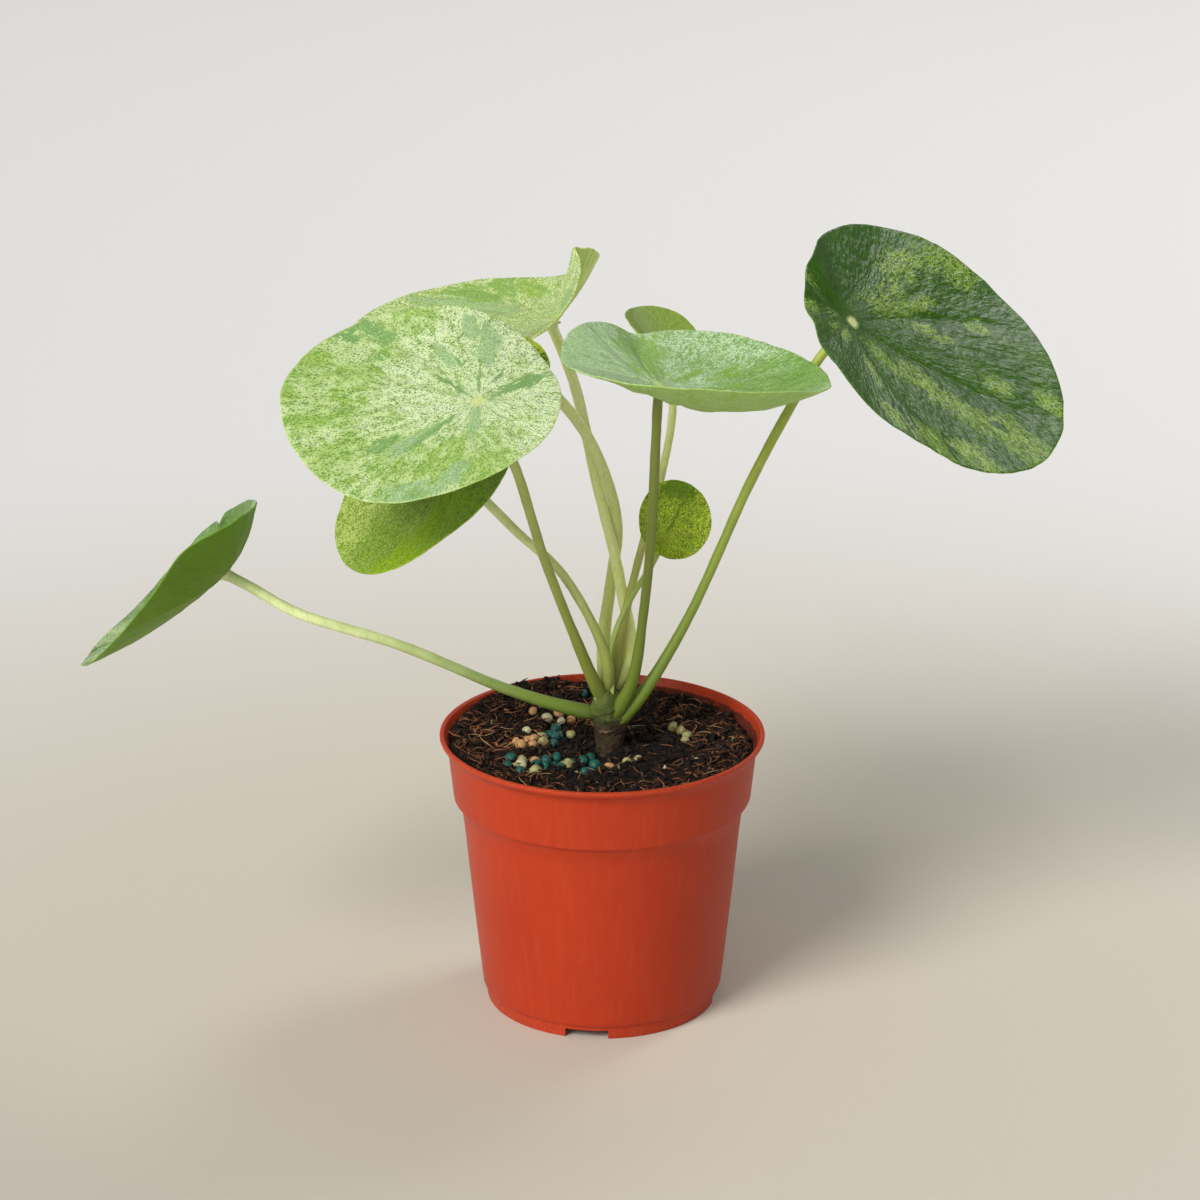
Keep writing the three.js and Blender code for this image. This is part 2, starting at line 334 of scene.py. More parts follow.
def makeDirt():
    # smudges and dust that gather where the amount says
    tree, given, result = newGroup("dirt", "ShaderNodeTree", {"Vector": "Vector", "Amount": 0.3, "Size": 0.004},
                                   {"Mask": "Float"})
    coarse = noiseField(given["Vector"], 1.0 / given["Size"], 4.0, 0.7)
    fine = noiseField(given["Vector"], 6.0 / given["Size"], 2.0, 0.6)
    start = 0.78 - given["Amount"] * 0.45
    feedAll(result, {"Mask": fade(coarse * 0.7 + fine * 0.3, start, start + 0.09)})
    return tree


def makeTissue():
    # the variegated skin of a blade, in polar stretch about the navel; places are in millimetres from the navel
    colours = ("Cream", "Lime", "Green", "Grey Green", "Speck", "Navel", "Underside", "Rim")
    tree, given, result = newGroup("bladeTissue", "ShaderNodeTree", {
        "From Navel": "Vector", "Patches": "Vector", "Lime Zone": 0.0, "Margin": 0.0, "Under": 0.0, "Vein": 0.0,
        "Seed": 0.0, "Pale Share": 0.5, "Speck Share": 0.35, "Speck Size": 0.7, "Speck Strength": 0.6,
        "Patch Size": 6.0, "Vein Show": 0.3, "Quilt Size": 2.6, "Green Cells": 0.4, "Green Specks": 0.2,
        **dict.fromkeys(colours, "Color")}, {"Color": "Color", "Pale": "Float", "Height": "Float"})
    cream, lime, green, greyGreen, speck, navel, underside, rim = (given[name] for name in colours)
    patchSize, speckSize, quiltSize = given["Patch Size"], given["Speck Size"], given["Quilt Size"]
    place = given["From Navel"]
    reach = calc("MAXIMUM", vectorCalc("LENGTH", place)["Value"], 0.4)
    seed = joined(tree, z=given["Seed"])

    def stretched(size, power):
        # the place scaled so that a pattern is this size 30 mm out, and drawn out along the ribs
        rate = calc("POWER", reach / 30.0, power - 1) / size
        return vectorCalc("ADD", vectorCalc("SCALE", place, Scale=rate), seed)

    def about(field, gain):
        return (field - 0.5) * gain

    big = noiseField(stretched(patchSize, 0.4), 1.0, 4.0, 0.62)
    middle = noiseField(stretched(patchSize * 0.36, 0.5), 1.0, 3.0, 0.65)
    fine = noiseField(stretched(speckSize, 0.62), 1.0, 1.5)
    dust = noiseField(stretched(speckSize * 0.62, 0.7), 1.0, 1.0)
    dots = noiseField(vectorCalc("ADD", stretched(speckSize * 0.8, 0.78), (17.0, 5.0, 9.0)), 1.0, 0.5)
    tone = noiseField(vectorCalc("ADD", place, seed), 0.05)
    wander = about(big, 2.6) + (about(middle, 3.6) + about(fine, 2.6))

    # where each tissue lies: placed patches and scattered islands, all with ragged, drawn-out borders
    parts = addNode(tree, "ShaderNodeSeparateXYZ", {0: given["Patches"]})
    dark = fade(parts[0] + wander, -0.04, 0.08)
    grey = fade(parts[1] - wander, -0.05, 0.1)
    level = given["Pale Share"] * 2.0 - 1.0
    pale = fade(calc("MAXIMUM", level, parts[2]) + wander, -0.05, 0.07) * (1.0 - calc("MAXIMUM", dark, grey))

    # pale tissue: cream to lime, clouded with green, and full of fine dashes
    blotches = about(middle, 2.0) + about(big, 1.6)
    limeShare = calc("ADD", fade(tone, 0.42, 0.68) * 0.3 + blotches, given["Lime Zone"], clamp=True)
    line = 0.66 - given["Speck Share"] * 0.3 - about(middle, 0.3)
    dashes = fade(fine, line, line + 0.07) * (given["Speck Strength"] * 0.62)
    line = line + 0.035
    paleColour = layered(
        cream, (limeShare, lime), (fade(middle, 0.5, 0.66) * 0.3, layered(lime, (0.35, green))),
        (fade(dust, 0.54, 0.68) * (0.3 - given["Lime Zone"] * 0.2), cream), (dashes, speck),
        (fade(dots, line, line + 0.07) * given["Speck Strength"], speck))

    # green tissue: from clear green to a greyer green, with darker clouds and a few light cells
    greyShare = calc("MAXIMUM", grey, fade(tone, 0.45, 0.7) * 0.7) * (1.0 - dark * 0.85)
    greyColour = layered(greyGreen, (fade(fine, 0.48, 0.6) * 0.6, green), (fade(dots, 0.5, 0.62) * 0.45, cream))
    greenColour = layered(
        green, (greyShare, greyColour), (fade(middle, 0.5, 0.36) * 0.3, speck),
        (fade(fine, 0.5, 0.62) * given["Green Cells"], layered(lime, (0.3, cream))),
        (fade(dots, 0.5, 0.4) * given["Green Specks"], speck))

    # the plainer underside, veins, the navel and the rim
    underColour = layered(
        underside, (pale * 0.25, paleColour), (fade(middle, 0.42, 0.62) * 0.3, green),
        (fade(dust, 0.5, 0.68) * 0.14, rim), (given["Vein"] * (given["Vein Show"] * 0.6), rim))
    colour = layered(
        greenColour, (pale, paleColour), (given["Vein"] * given["Vein Show"], navel), (given["Under"], underColour),
        (fade(reach * -1.0, -2.9, -0.8), navel), (fade(given["Margin"], 0.986, 0.998) * 0.3, rim))

    # skin relief: the quilting between small veins, wrinkles along the ribs, and the grain of the skin
    net = addNode(tree, "ShaderNodeTexVoronoi", {"Vector": stretched(quiltSize, 0.72), "Scale": 1.0,
                                                 "Randomness": 0.95}, feature="SMOOTH_F1")
    ribbed = noiseField(stretched(quiltSize * 0.8, 0.35), 1.0, 2.0, 0.6)
    height = (1.0 - net * net) * 0.6 + (ribbed * 0.9 + noiseField(place, 2.4, 2.0, 0.6) * 0.22)
    feedAll(result, {"Color": colour, "Pale": pale, "Height": height})
    return tree


mottle = makeMottle()
dirt = makeDirt()
bladeTissue = makeTissue()
print("shader groups made")


def startSkin(name, size, grain, seed, centre=None, **constants):
    # a material, its shader, the places on the object and the mottled tone; sizes are in millimetres
    material, tree, shader = newMaterial(name, **constants)
    place = addNode(tree, "ShaderNodeTexCoord")["Object"]
    if centre is not None:
        place = mapped(place, Location=-centre)
    tone = useGroup(tree, mottle, {"Vector": place, "Size": size * mm, "Grain": grain * mm, "Seed": seed})
    return material, tree, shader, place, tone


# where the camera stands, from the pot's middle on the floor
cameraSet = {"lens": 117, "film": 36, "pitch": 19.87, "distance": 1.208, "aim": (-0.0007, 0, 0.1326)}


def setCamera():
    data = bpy.data.cameras.new("camera")
    data.lens = cameraSet["lens"]
    data.sensor_width = cameraSet["film"]
    data.clip_start = 0.01
    camera = newObject("camera", data)
    pitch = math.radians(cameraSet["pitch"])
    away = Vector((0, -math.cos(pitch), math.sin(pitch))) * cameraSet["distance"]
    camera.location = potAxis + Vector(cameraSet["aim"]) + away
    camera.rotation_euler = (math.pi / 2 - pitch, 0, 0)
    bpy.context.scene.camera = camera


setCamera()

# the pot: radii, heights and widths in millimetres, the front notch's direction in degrees off the front
pot = {
    "height": 89, "lip": 51, "collarTop": 48.3, "collarBottom": 46.8, "collarDrop": 20.4, "shoulderDrop": 5.8,
    "wallTop": 43.9, "wallBottom": 38, "foot": 36.8, "footHeight": 4.5, "footWidth": 2.4, "wall": 1.3, "floor": 1.5,
    "notches": 4, "notchWidth": 13.5, "notchHeight": 3, "notchTurn": -7.7, "drains": 8, "drainRadius": 3.5,
    "drainCircle": 24, "segments": 192, "colour": (182, 56, 24), "worn": (198, 84, 54), "deep": (158, 44, 18),
    "soilMark": (46, 32, 24),
}


def potProfile():
    top, foot, sole, wall = pot["height"], pot["foot"], pot["footHeight"], pot["wall"]
    collar = top - pot["collarDrop"]
    shoulder = collar - pot["shoulderDrop"]
    floor = sole + pot["floor"]
    inFoot = foot - pot["footWidth"]
    wallTop, wallBottom, lip = pot["wallTop"], pot["wallBottom"], pot["lip"]
    collarTop, collarBottom = pot["collarTop"], pot["collarBottom"]

    def near(radius, height, *offsets):
        # profile points, each by how far it lies out and up from one corner
        return [(radius + out, height + up) for out, up in offsets]

    outside = [(0, sole), (12, sole)] + near(inFoot, sole, (-0.9, 0), (-0.35, -0.4), (-0.1, -1.2))
    outside += near(inFoot, 0, (0, 0.5), (0.15, 0.12), (0.5, 0)) + near(foot, 0, (-0.55, 0), (-0.15, 0.12), (0, 0.5))
    outside += near(foot, sole, (0.3, -0.9), (0.42, -0.35), (0.75, -0.1))
    outside += near(wallBottom, sole, (-0.25, 0.05), (0, 0.45), (0.15, 1.6))
    for t in [k / 12 for k in range(1, 12)]:  # the long wall, a touch of a swell in it
        outside.append((wallBottom + (wallTop - wallBottom) * t + 0.12 * math.sin(math.pi * t),
                        sole + (shoulder - sole) * t))
    outside += near(wallTop, shoulder, (-0.03, -1.6), (0.12, -0.1), (0.5, 1.3))
    outside += near(collarBottom, collar, (-1.4, -1.4), (-0.95, -0.5), (-0.75, -0.3), (-0.2, -0.22), (-0.04, -0.1),
                    (0.02, 0.2), (0.08, 0.9))
    outside += [(collarBottom + (collarTop - collarBottom) * t, collar + (top - 6.5 - collar) * t)
                for t in [k / 5 for k in range(1, 5)]]
    outside += near(collarTop, top, (0, -6.5), (0.12, -5.2), (0.42, -3.9), (0.95, -2.9))
    outside += near(lip, top, (-0.9, -2.2), (-0.3, -1.6), (-0.04, -1.05), (0, -0.62), (-0.14, -0.22), (-0.5, -0.02),
                    (-0.95, 0), (-1.3, -0.12), (-1.55, -0.45))
    inside = near(lip, top, (-1.75, -1.2)) + near(collarTop, top, (0.25, -2.7), (-0.4, -3.8), (-0.95, -5.1))
    inside += near(collarTop - wall, top, (0, -6.5), (-0.3, -10))
    inside += near(collarBottom - wall, collar, (0.06, 1.1), (-0.3, 0.1))
    inside += near(wallTop - wall, shoulder, (0.5, 1.0), (0, -0.5))
    inside += near(wallBottom - wall, floor, (0.4, 1.6), (-0.4, 0.4), (-1.4, 0)) + [(12, floor), (0, floor)]
    return outside, inside


def makeOpenings():
    # cuts the drain holes in the floor and the notches in the foot ring, each set evenly round the axis
    tree, given, result = newGroup("potOpenings", "GeometryNodeTree", {
        "Geometry": "Geometry", "Axis": "Vector", "Drain Count": 8, "Drain Radius": 0.0035, "Drain Circle": 0.024,
        "Notch Count": 4, "Notch Width": 0.0135, "Notch Height": 0.003, "Notch Circle": 0.036, "Notch Turn": 0.0,
        "Material": "Material"}, {"Geometry": "Geometry"})

    def ring(count, radius, cutter, turn):
        # cutters set round the axis, each turned to face outward
        circle = addNode(tree, "GeometryNodeMeshCircle", {"Vertices": count, "Radius": radius})
        place = addNode(tree, "GeometryNodeTransform", {"Geometry": circle, "Translation": given["Axis"],
                                                        "Rotation": joined(tree, z=turn)})
        facing = addNode(tree, "GeometryNodeInputIndex") * (2 * math.pi) / count + turn
        return addNode(tree, "GeometryNodeInstanceOnPoints", {"Points": place, "Instance": cutter,
                                                              "Rotation": joined(tree, z=facing)})

    drain = addNode(tree, "GeometryNodeMeshCylinder", {"Vertices": 40, "Radius": given["Drain Radius"],
                                                       "Depth": 0.03})
    size = joined(tree, 0.012, given["Notch Width"], given["Notch Height"] * 2.0)
    notch = addNode(tree, "GeometryNodeMeshCube", {"Size": size})
    both = addNode(tree, "GeometryNodeJoinGeometry")
    for cutters in (ring(given["Drain Count"], given["Drain Circle"], drain, 0.0),
                    ring(given["Notch Count"], given["Notch Circle"], notch, given["Notch Turn"])):
        feed(both.socket.node.inputs[0], cutters)
    solid = addNode(tree, "GeometryNodeRealizeInstances", {0: both})
    cut = addNode(tree, "GeometryNodeMeshBoolean", {"Mesh 1": given["Geometry"], "Mesh 2": solid},
                  operation="DIFFERENCE", solver="EXACT")
    return closeTree(tree, cut, given, result)


def makePotPlastic():
    material, tree, shader, place, tone = startSkin("potPlastic", 35, 1.1, 2.0, potAxis, Specular_IOR_Level=0.22)
    # faint flow lines of the moulding, drawn out up the wall
    lines = noiseField(mapped(place, Scale=(1, 1, 0.06)), 420.0, 2.0, 0.6)
    # rubbed pale along the lip and the foot
    height = addNode(tree, "ShaderNodeSeparateXYZ", {0: place})[2]
    down = height * -1.0
    lipWear = fade(height, (pot["height"] - 2.2) * mm, (pot["height"] - 0.2) * mm)
    rubbed = calc("MAXIMUM", lipWear, fade(down, -6 * mm, -1 * mm)) * fade(tone["Grain"], 0.4, 0.62)
    # soil smeared up the inside, and a few specks on the lip
    inside = attribute(tree, "inner")
    low = fade(down, (0.5 - pot["height"]) * mm, (6 - pot["height"]) * mm)
    amount = inside * (low * 0.35 + 0.78) + lipWear * 0.1
    smears = useGroup(tree, dirt, {"Vector": place, "Amount": amount, "Size": 4 * mm})
    marks = smears * calc("MAXIMUM", inside, lipWear)
    colour = layered(pot["colour"], (tone["Tone"] * 0.3, pot["deep"]), (fade(lines, 0.45, 0.75) * 0.16, pot["worn"]),
                     (rubbed * 0.4, pot["worn"]), (marks * 0.8, pot["soilMark"]))
    feedAll(shader, {"Base Color": colour, "Roughness": 0.36 + (tone["Grain"] * 0.12 + marks * 0.4)})
    addBump(shader, tone["Grain"] + lines * 0.4, 0.06 * mm)
    return material


def buildPot():
    outside, inside = potProfile()
    points, faces = lathe(outside + inside, pot["segments"])
    piece = newObject("nurseryPot", meshFrom("nurseryPot", toFrame(points), faces))
    outer = 1 + len(outside) * pot["segments"]  # the points before the lip turns inward
    putAttribute(piece.data, "inner", [k >= outer for k in range(len(points))])
    grow(piece, makeOpenings(), {
        "Axis": tuple(potAxis), "Drain Count": pot["drains"], "Drain Radius": pot["drainRadius"] * mm,
        "Drain Circle": pot["drainCircle"] * mm, "Notch Count": pot["notches"], "Notch Width": pot["notchWidth"] * mm,
        "Notch Height": pot["notchHeight"] * mm, "Notch Circle": (pot["foot"] - 1.2) * mm,
        "Notch Turn": math.radians(pot["notchTurn"]), "Material": makePotPlastic()})
    smooth(piece.data, 38)
    finishPiece(piece, "pot_plastic", "pot")


buildPot()
print("pot built")

# the soil's surface and what lies on it: heights, sizes and places in millimetres from the pot's axis
soil = {
    "level": 81.6, "wallRise": 2.4, "bumps": 0.5, "mound": (-20, 33, 3.4, 15), "bank": (1.3, 0.5, 155), "edge": 46.85,
    # where the wall starts to widen under the lip, the filling's sides below (radius, height), and the zone that is
    # bare of fibres: its middle, its radius and how wide its border is
    "widens": 82.5, "sides": ((46.8, 80.0), (45.3, 69), (42.4, 62.5)), "bare": (2, -10, 20, 14),
    "rings": 110, "spokes": 260, "rough": ((9.0, 0.8), (4.0, 0.75), (1.9, 0.5), (0.9, 0.3)),
    "dark": (12, 9, 8), "brown": (48, 34, 26), "rust": (164, 106, 70), "straw": (196, 160, 110),
    "pale": (206, 204, 176), "moss": (128, 132, 84), "coir": (36, 23, 16), "bleached": (214, 204, 184),
    # name, shapes, pieces to the square metre, seed, sizes, tilt, lift, farthest from the axis, thinning, matter
    "strewn": (
        ("soilCrumbs", "crumb", 110000, 3, 0.9, 2.8, 3.1, 0.2, 46.8, 0.0, "peatCrumb"),
        ("fineCrumbs", "bit", 600000, 31, 0.45, 1.3, 3.1, 0.3, 47.2, 0.0, "peatCrumb"),
        ("barkChips", "chip", 24000, 8, 2.2, 6.0, 0.8, 0.5, 45, 0.3, "peatCrumb"),
        ("rustChips", "chip", 70000, 14, 1.0, 2.8, 0.9, 0.7, 46.4, 0.9, "coirFibre"),
        ("coirFibres", "strand", 250000, 12, 1.6, 6.2, 0.75, 0.5, 46, 0.9, "coirFibre"),
        ("strawBits", "root", 20000, 17, 2.4, 8.0, 0.5, 1.0, 45, 0.5, "strawBit"),
        ("paleCrumbs", "chip", 1600, 23, 1.2, 2.4, 3.1, 0.8, 42, 0.0, "paleCrumb")),
    # pale straws lying on top: x, y, heading, length
    "straws": ((11, 18, 8, 9), (-0.6, -30, -38, 8), (33, 7, -32, 9), (-45, 24, -60, 4), (-2, -21, -55, 11)),
}
# feed grains and mineral flakes lie in heaps: x, y, spread across and deep, count, shares of the four kinds.
# Each kind: name, colour, how dusty, how lumpy
grains = {
    "seed": 7, "smallest": 1.4, "largest": 1.95, "sunk": 0.35,
    "kinds": (("tealGrains", (12, 92, 82), 0.3, 0.13), ("tanGrains", (202, 152, 98), 0.25, 0.16),
              ("creamGrains", (206, 200, 158), 0.4, 0.16), ("mineralFlakes", (176, 170, 112), 0.45, 0.34)),
    "heaps": ((-13, 23, 6.0, 4.5, 13, (0.5, 0.2, 0.3, 0)), (-22, 2, 3.0, 4.5, 8, (0, 0.6, 0.15, 0.25)),
              (-16.5, 8, 2.4, 3.6, 7, (1, 0, 0, 0)), (-16.5, -14, 3.4, 3.0, 8, (0.75, 0.1, 0.05, 0.1)),
              (-24, -18, 3.4, 3.2, 8, (0.6, 0, 0.1, 0.3)), (-4, -14.5, 3.4, 3.0, 6, (0.9, 0.1, 0, 0)),
              (-4.5, 37, 2.0, 2.0, 2, (1, 0, 0, 0)), (8, -11, 2.6, 1.4, 3, (0, 0, 0, 1)),
              (-12, -17, 2.4, 1.6, 2, (0, 0, 0, 1)), (-11, 8, 1.0, 1.0, 1, (0, 0, 0, 1)),
              (24, 12, 6.0, 6.0, 4, (0, 0, 0, 1))),
}


def soilHeight(x, y):
    # the solid's heaped surface, in millimetres, banked a little higher up the wall on one side
    moundX, moundY, rise, spread = soil["mound"]
    mound = rise * np.exp(-((x - moundX) ** 2 + (y - moundY) ** 2) / (2 * spread ** 2))
    bumps = np.sin(0.31 * x + 0.9) * np.cos(0.27 * y) + 0.7 * np.sin(0.47 * y - 0.38 * x)
    lean, lift, side = soil["bank"]
    out = (x * x + y * y) / 46 ** 2
    bank = (lean * np.cos(np.arctan2(y, x) - math.radians(side)) + lift) * out ** 1.5
    return soil["level"] + soil["wallRise"] * out + mound + soil["bumps"] * bumps + bank


def roughness(x, y):
    # clods and crumbs on the soil's surface
    places = np.stack([x, y, np.zeros_like(x)], -1)
    total = np.zeros_like(x)
    for k, (size, height) in enumerate(soil["rough"]):
        total += height * (1 - 2 * np.abs(softNoise(places, size, 11 + k)))
    return total - 0.2


def makeSoilMatter(name, dark, light, share, grain):
    # peat and bark: two tones that vary from lump to lump and within each
    material, tree, shader, _, tone = startSkin(name, 5, grain, 5.0, Roughness=0.92, Specular_IOR_Level=0.25)
    amount = calc("ADD", tone["Tone"] * 0.16, calc("POWER", attribute(tree, "tone"), 2.6) * share, clamp=True)
    colour = layered(soil[dark], (amount, soil[light]), (fade(tone["Grain"], 0.52, 0.72) * 0.14, soil["rust"]))
    feed(shader.inputs["Base Color"], colour)
    addBump(shader, tone["Grain"], 0.4 * mm)
    return material


def makeScatter():
    # strews a collection's pieces over a surface, seeded, each turned, scaled and given a tone of its own
    tree, given, result = newGroup("scatterPieces", "GeometryNodeTree", {
        "Geometry": "Geometry", "Pieces": "Collection", "Axis": "Vector", "Limit": 0.046, "Thinning": 0.0,
        "Density": 1000.0, "Seed": 0, "Smallest": 0.001, "Largest": 0.002, "Tilt": 0.3, "Raise": 0.0,
        "Material": "Material"}, {"Geometry": "Geometry"})
    seed, tilt = given["Seed"], given["Tilt"]

    def draw(low, high, shift=None, kind="FLOAT"):
        # a random value for each piece
        node = addNode(tree, "FunctionNodeRandomValue", {"Seed": seed + shift if shift else seed}, data_type=kind)
        first = 0 if kind == "FLOAT_VECTOR" else 2
        feed(node.socket.node.inputs[first], low)
        feed(node.socket.node.inputs[first + 1], high)
        return node[first // 2]

    place = addNode(tree, "GeometryNodeInputPosition")
    flat = vectorCalc("MULTIPLY", vectorCalc("SUBTRACT", place, given["Axis"]), (1.0, 1.0, 0.0))
    inside = calc("LESS_THAN", vectorCalc("LENGTH", flat)["Value"], given["Limit"])
    density = given["Density"] * (inside * (1.0 - pointValue(tree, "bare") * given["Thinning"]))
    spots = addNode(tree, "GeometryNodeDistributePointsOnFaces", {"Mesh": given["Geometry"], "Density": density,
                                                                  "Seed": seed})
    lifted = addNode(tree, "GeometryNodeSetPosition", {"Geometry": spots, "Offset": joined(tree, z=given["Raise"])})
    shapes = addNode(tree, "GeometryNodeCollectionInfo", {"Collection": given["Pieces"], "Separate Children": True,
                                                          "Reset Children": True})
    low = joined(tree, tilt * -1.0, tilt * -1.0, -math.pi)
    turns = draw(low, joined(tree, tilt, tilt, math.pi), kind="FLOAT_VECTOR")
    placed = addNode(tree, "GeometryNodeInstanceOnPoints", {
        "Points": lifted, "Instance": shapes, "Pick Instance": True, "Rotation": turns,
        "Scale": draw(given["Smallest"], given["Largest"], 1.0)})
    marked = addNode(tree, "GeometryNodeStoreNamedAttribute", {"Geometry": placed, "Name": "tone",
                     "Value": draw(0.0, 1.0, 2.0)}, data_type="FLOAT", domain="INSTANCE")
    return closeTree(tree, marked, given, result)


def lumpMesh(name, full, stretch, seed, rough=0.9):
    # an irregular lump about one unit across
    work = bmesh.new()
    if full:
        bmesh.ops.create_uvsphere(work, u_segments=8, v_segments=5, radius=0.5)
    else:
        bmesh.ops.create_icosphere(work, subdivisions=1, radius=0.5)
    for vert in work.verts:
        push = 1 + rough * noise.noise(vert.co * 3 + Vector((seed * 7.3, seed, 0)))
        push += 0.5 * rough * noise.noise(vert.co * 7 + Vector((0, seed * 3.1, seed)))
        vert.co = Vector(a * b * push for a, b in zip(vert.co, stretch))
    return meshOf(name, work)


def strandMesh(name, seed, thick, sides=4, steps=8):
    # a curled fibre one unit long with pinched ends
    draw = np.random.default_rng(seed)
    bend, rise, wave = draw.uniform(-0.32, 0.32), draw.uniform(0.02, 0.12), draw.uniform(-0.07, 0.07)
    line = []
    for t in [k / steps for k in range(steps + 1)]:
        arch = math.sin(math.pi * t)
        line.append(Vector((t - 0.5, bend * arch * 0.6 + wave * math.sin(2 * math.pi * t), rise * arch)))
    points, faces = [], []
    for k, at in enumerate(line):
        along = (line[min(k + 1, steps)] - line[max(k - 1, 0)]).normalized()
        across = along.cross(Vector((0, 0, 1))).normalized()
        up = across.cross(along)
        radius = thick * (0.35 + 0.65 * math.sin(math.pi * min(max(k / steps, 0.06), 0.94)))
        for turn in [2 * math.pi * s / sides for s in range(sides)]:
            points.append(at + radius * (across * math.cos(turn) + up * math.sin(turn)))
        if k < steps:
            faces += belt(k * sides, (k + 1) * sides, sides)
    faces += [tuple(range(sides)), tuple(range(steps * sides + sides - 1, steps * sides - 1, -1))]
    return meshFrom(name, points, faces)


def putOnShelf(name, meshes):
    # a collection of shapes to strew, not part of the scene
    shelf = bpy.data.collections.new(name)
    for mesh in meshes:
        shelf.objects.link(bpy.data.objects.new(mesh.name, mesh))
    return shelf


def clearShelf(shelf):
    for thing in list(shelf.objects):
        data = thing.data
        bpy.data.objects.remove(thing)
        bpy.data.meshes.remove(data)
    bpy.data.collections.remove(shelf)


def soilBody():
    # the filling: a rough heaped top, straight sides inside the wall, and a flat bottom
    rings, spokes = soil["rings"], soil["spokes"]
    turn = np.linspace(0, 2 * math.pi, spokes, endpoint=False)
    radius = np.linspace(0, soil["edge"], rings + 1)[1:]
    # the edge follows the pot's inner wall, which widens under the lip
    edge = soil["edge"] + 0.33 * np.clip(soilHeight(47 * np.cos(turn), 47 * np.sin(turn)) - soil["widens"], 0, 4)
    x = radius[:, None] * np.cos(turn) * edge / soil["edge"]
    y = radius[:, None] * np.sin(turn) * edge / soil["edge"]
    calm = np.clip((soil["edge"] - radius) / 1.6, 0.25, 1)[:, None]
    z = soilHeight(x, y) + roughness(x, y) * calm
    points = [(0.0, 0.0, float(soilHeight(np.zeros(1), np.zeros(1))[0]))]
    points += list(zip(x.ravel(), y.ravel(), z.ravel()))
    faces = fan(0, 1, spokes)
    for i in range(rings - 1):
        faces += belt(1 + i * spokes, 1 + (i + 1) * spokes, spokes)
    topFaces = len(faces)
    floor = pot["footHeight"] + pot["floor"]
    last = 1 + (rings - 1) * spokes
    for r, h in (*soil["sides"], (36.6, floor + 1.0), (35.6, floor + 0.02)):
        faces += belt(last, len(points), spokes)
        last = len(points)
        points += [(r * math.cos(t), r * math.sin(t), h) for t in turn]
    faces += fan(len(points), last, spokes, True)
    points.append((0, 0, floor + 0.02))
    return toFrame(points), faces, topFaces


def holdInside(mesh):
    # presses whatever crosses the pot's wall back against it
    places = np.empty(len(mesh.vertices) * 3, np.float32)
    mesh.vertices.foreach_get("co", places)
    places = places.reshape(-1, 3).astype(float)
    flat = places[:, :2] - np.array(potAxis)[:2]
    far = np.hypot(flat[:, 0], flat[:, 1])
    wall = (pot["collarTop"] - pot["wall"] - 0.25 + 0.45 * np.clip(places[:, 2] / mm - soil["widens"], 0, 4)) * mm
    flat *= (np.minimum(far, wall) / np.maximum(far, mm))[:, None]
    places[:, :2] = flat + np.array(potAxis)[:2]
    mesh.vertices.foreach_set("co", places.astype(np.float32).ravel())
    mesh.update()


def buildSoil():
    points, faces, topFaces = soilBody()
    body = meshFrom("soilBody", points, faces)
    smooth(body)
    putAttribute(body, "tone", np.full(len(points), 0.2))
    finishMesh(body, makeSoilMatter("pottingSoil", "dark", "brown", 0.5, 0.6), "soil", "soil")
    top = meshFrom("soilTop", points, faces[:topFaces])
    # the middle and front are fine and dark, nearly free of fibres
    flat = (points - np.array(potAxis)) / mm
    bareX, bareY, radius, border = soil["bare"]
    bare = 1 - np.clip((np.hypot(flat[:, 0] - bareX, flat[:, 1] - bareY) - radius) / border, 0, 1)
    putAttribute(top, "bare", bare)
    strew = makeScatter()
    shapes = {
        "crumb": [lumpMesh(f"crumb{k}", True, (1, 0.8 + 0.1 * k, 0.7), k) for k in range(4)],
        "bit": [lumpMesh(f"bit{k}", False, (1, 0.7 + 0.1 * k, 0.7), 30 + k) for k in range(4)],
        "chip": [lumpMesh(f"chip{k}", True, (1, 0.42, 0.16), 9 + k) for k in range(4)],
        "strand": [strandMesh(f"strand{k}", 20 + k, 0.02 + 0.006 * k) for k in range(8)],
        "root": [strandMesh(f"root{k}", 40 + k, 0.02, 5, 12) for k in range(5)]}
    shelves = {kind: putOnShelf(kind + "Shapes", meshes) for kind, meshes in shapes.items()}
    matter = {name: makeSoilMatter(name, *looks) for name, *looks in (
        ("peatCrumb", "dark", "brown", 0.9, 0.5), ("coirFibre", "coir", "rust", 1.0, 0.5),
        ("strawBit", "rust", "straw", 1.0, 0.6), ("paleCrumb", "moss", "pale", 1.0, 0.6))}
    for name, kind, density, seed, smallest, largest, tilt, lift, limit, thinning, look in soil["strewn"]:
        piece = newObject(name, top.copy())
        grow(piece, strew, {"Pieces": shelves[kind], "Axis": tuple(potAxis), "Limit": limit * mm,
                            "Thinning": thinning, "Density": float(density), "Seed": seed,
                            "Smallest": smallest * mm, "Largest": largest * mm, "Tilt": tilt, "Raise": lift * mm,
                            "Material": matter[look]})
        holdInside(piece.data)
        smooth(piece.data)
        finishPiece(piece, "soil")
        print("  strewn", name, len(piece.data.polygons), "faces")
    for shelf in shelves.values():
        clearShelf(shelf)
    bpy.data.meshes.remove(top)


def makeGrainSkin(name, colour, dusty):
    material, tree, shader, place, tone = startSkin(name, 1.6, 0.4, 1.0, Specular_IOR_Level=0.4)
    marks = useGroup(tree, dirt, {"Vector": place, "Amount": dusty, "Size": 1.6 * mm})
    colour = layered(colour, (tone["Tone"] * 0.35, soil["brown"]), (marks * 0.75, soil["dark"]))
    feedAll(shader, {"Base Color": colour, "Roughness": 0.45 + marks * 0.4})
    addBump(shader, tone["Grain"], 0.12 * mm)
    return material


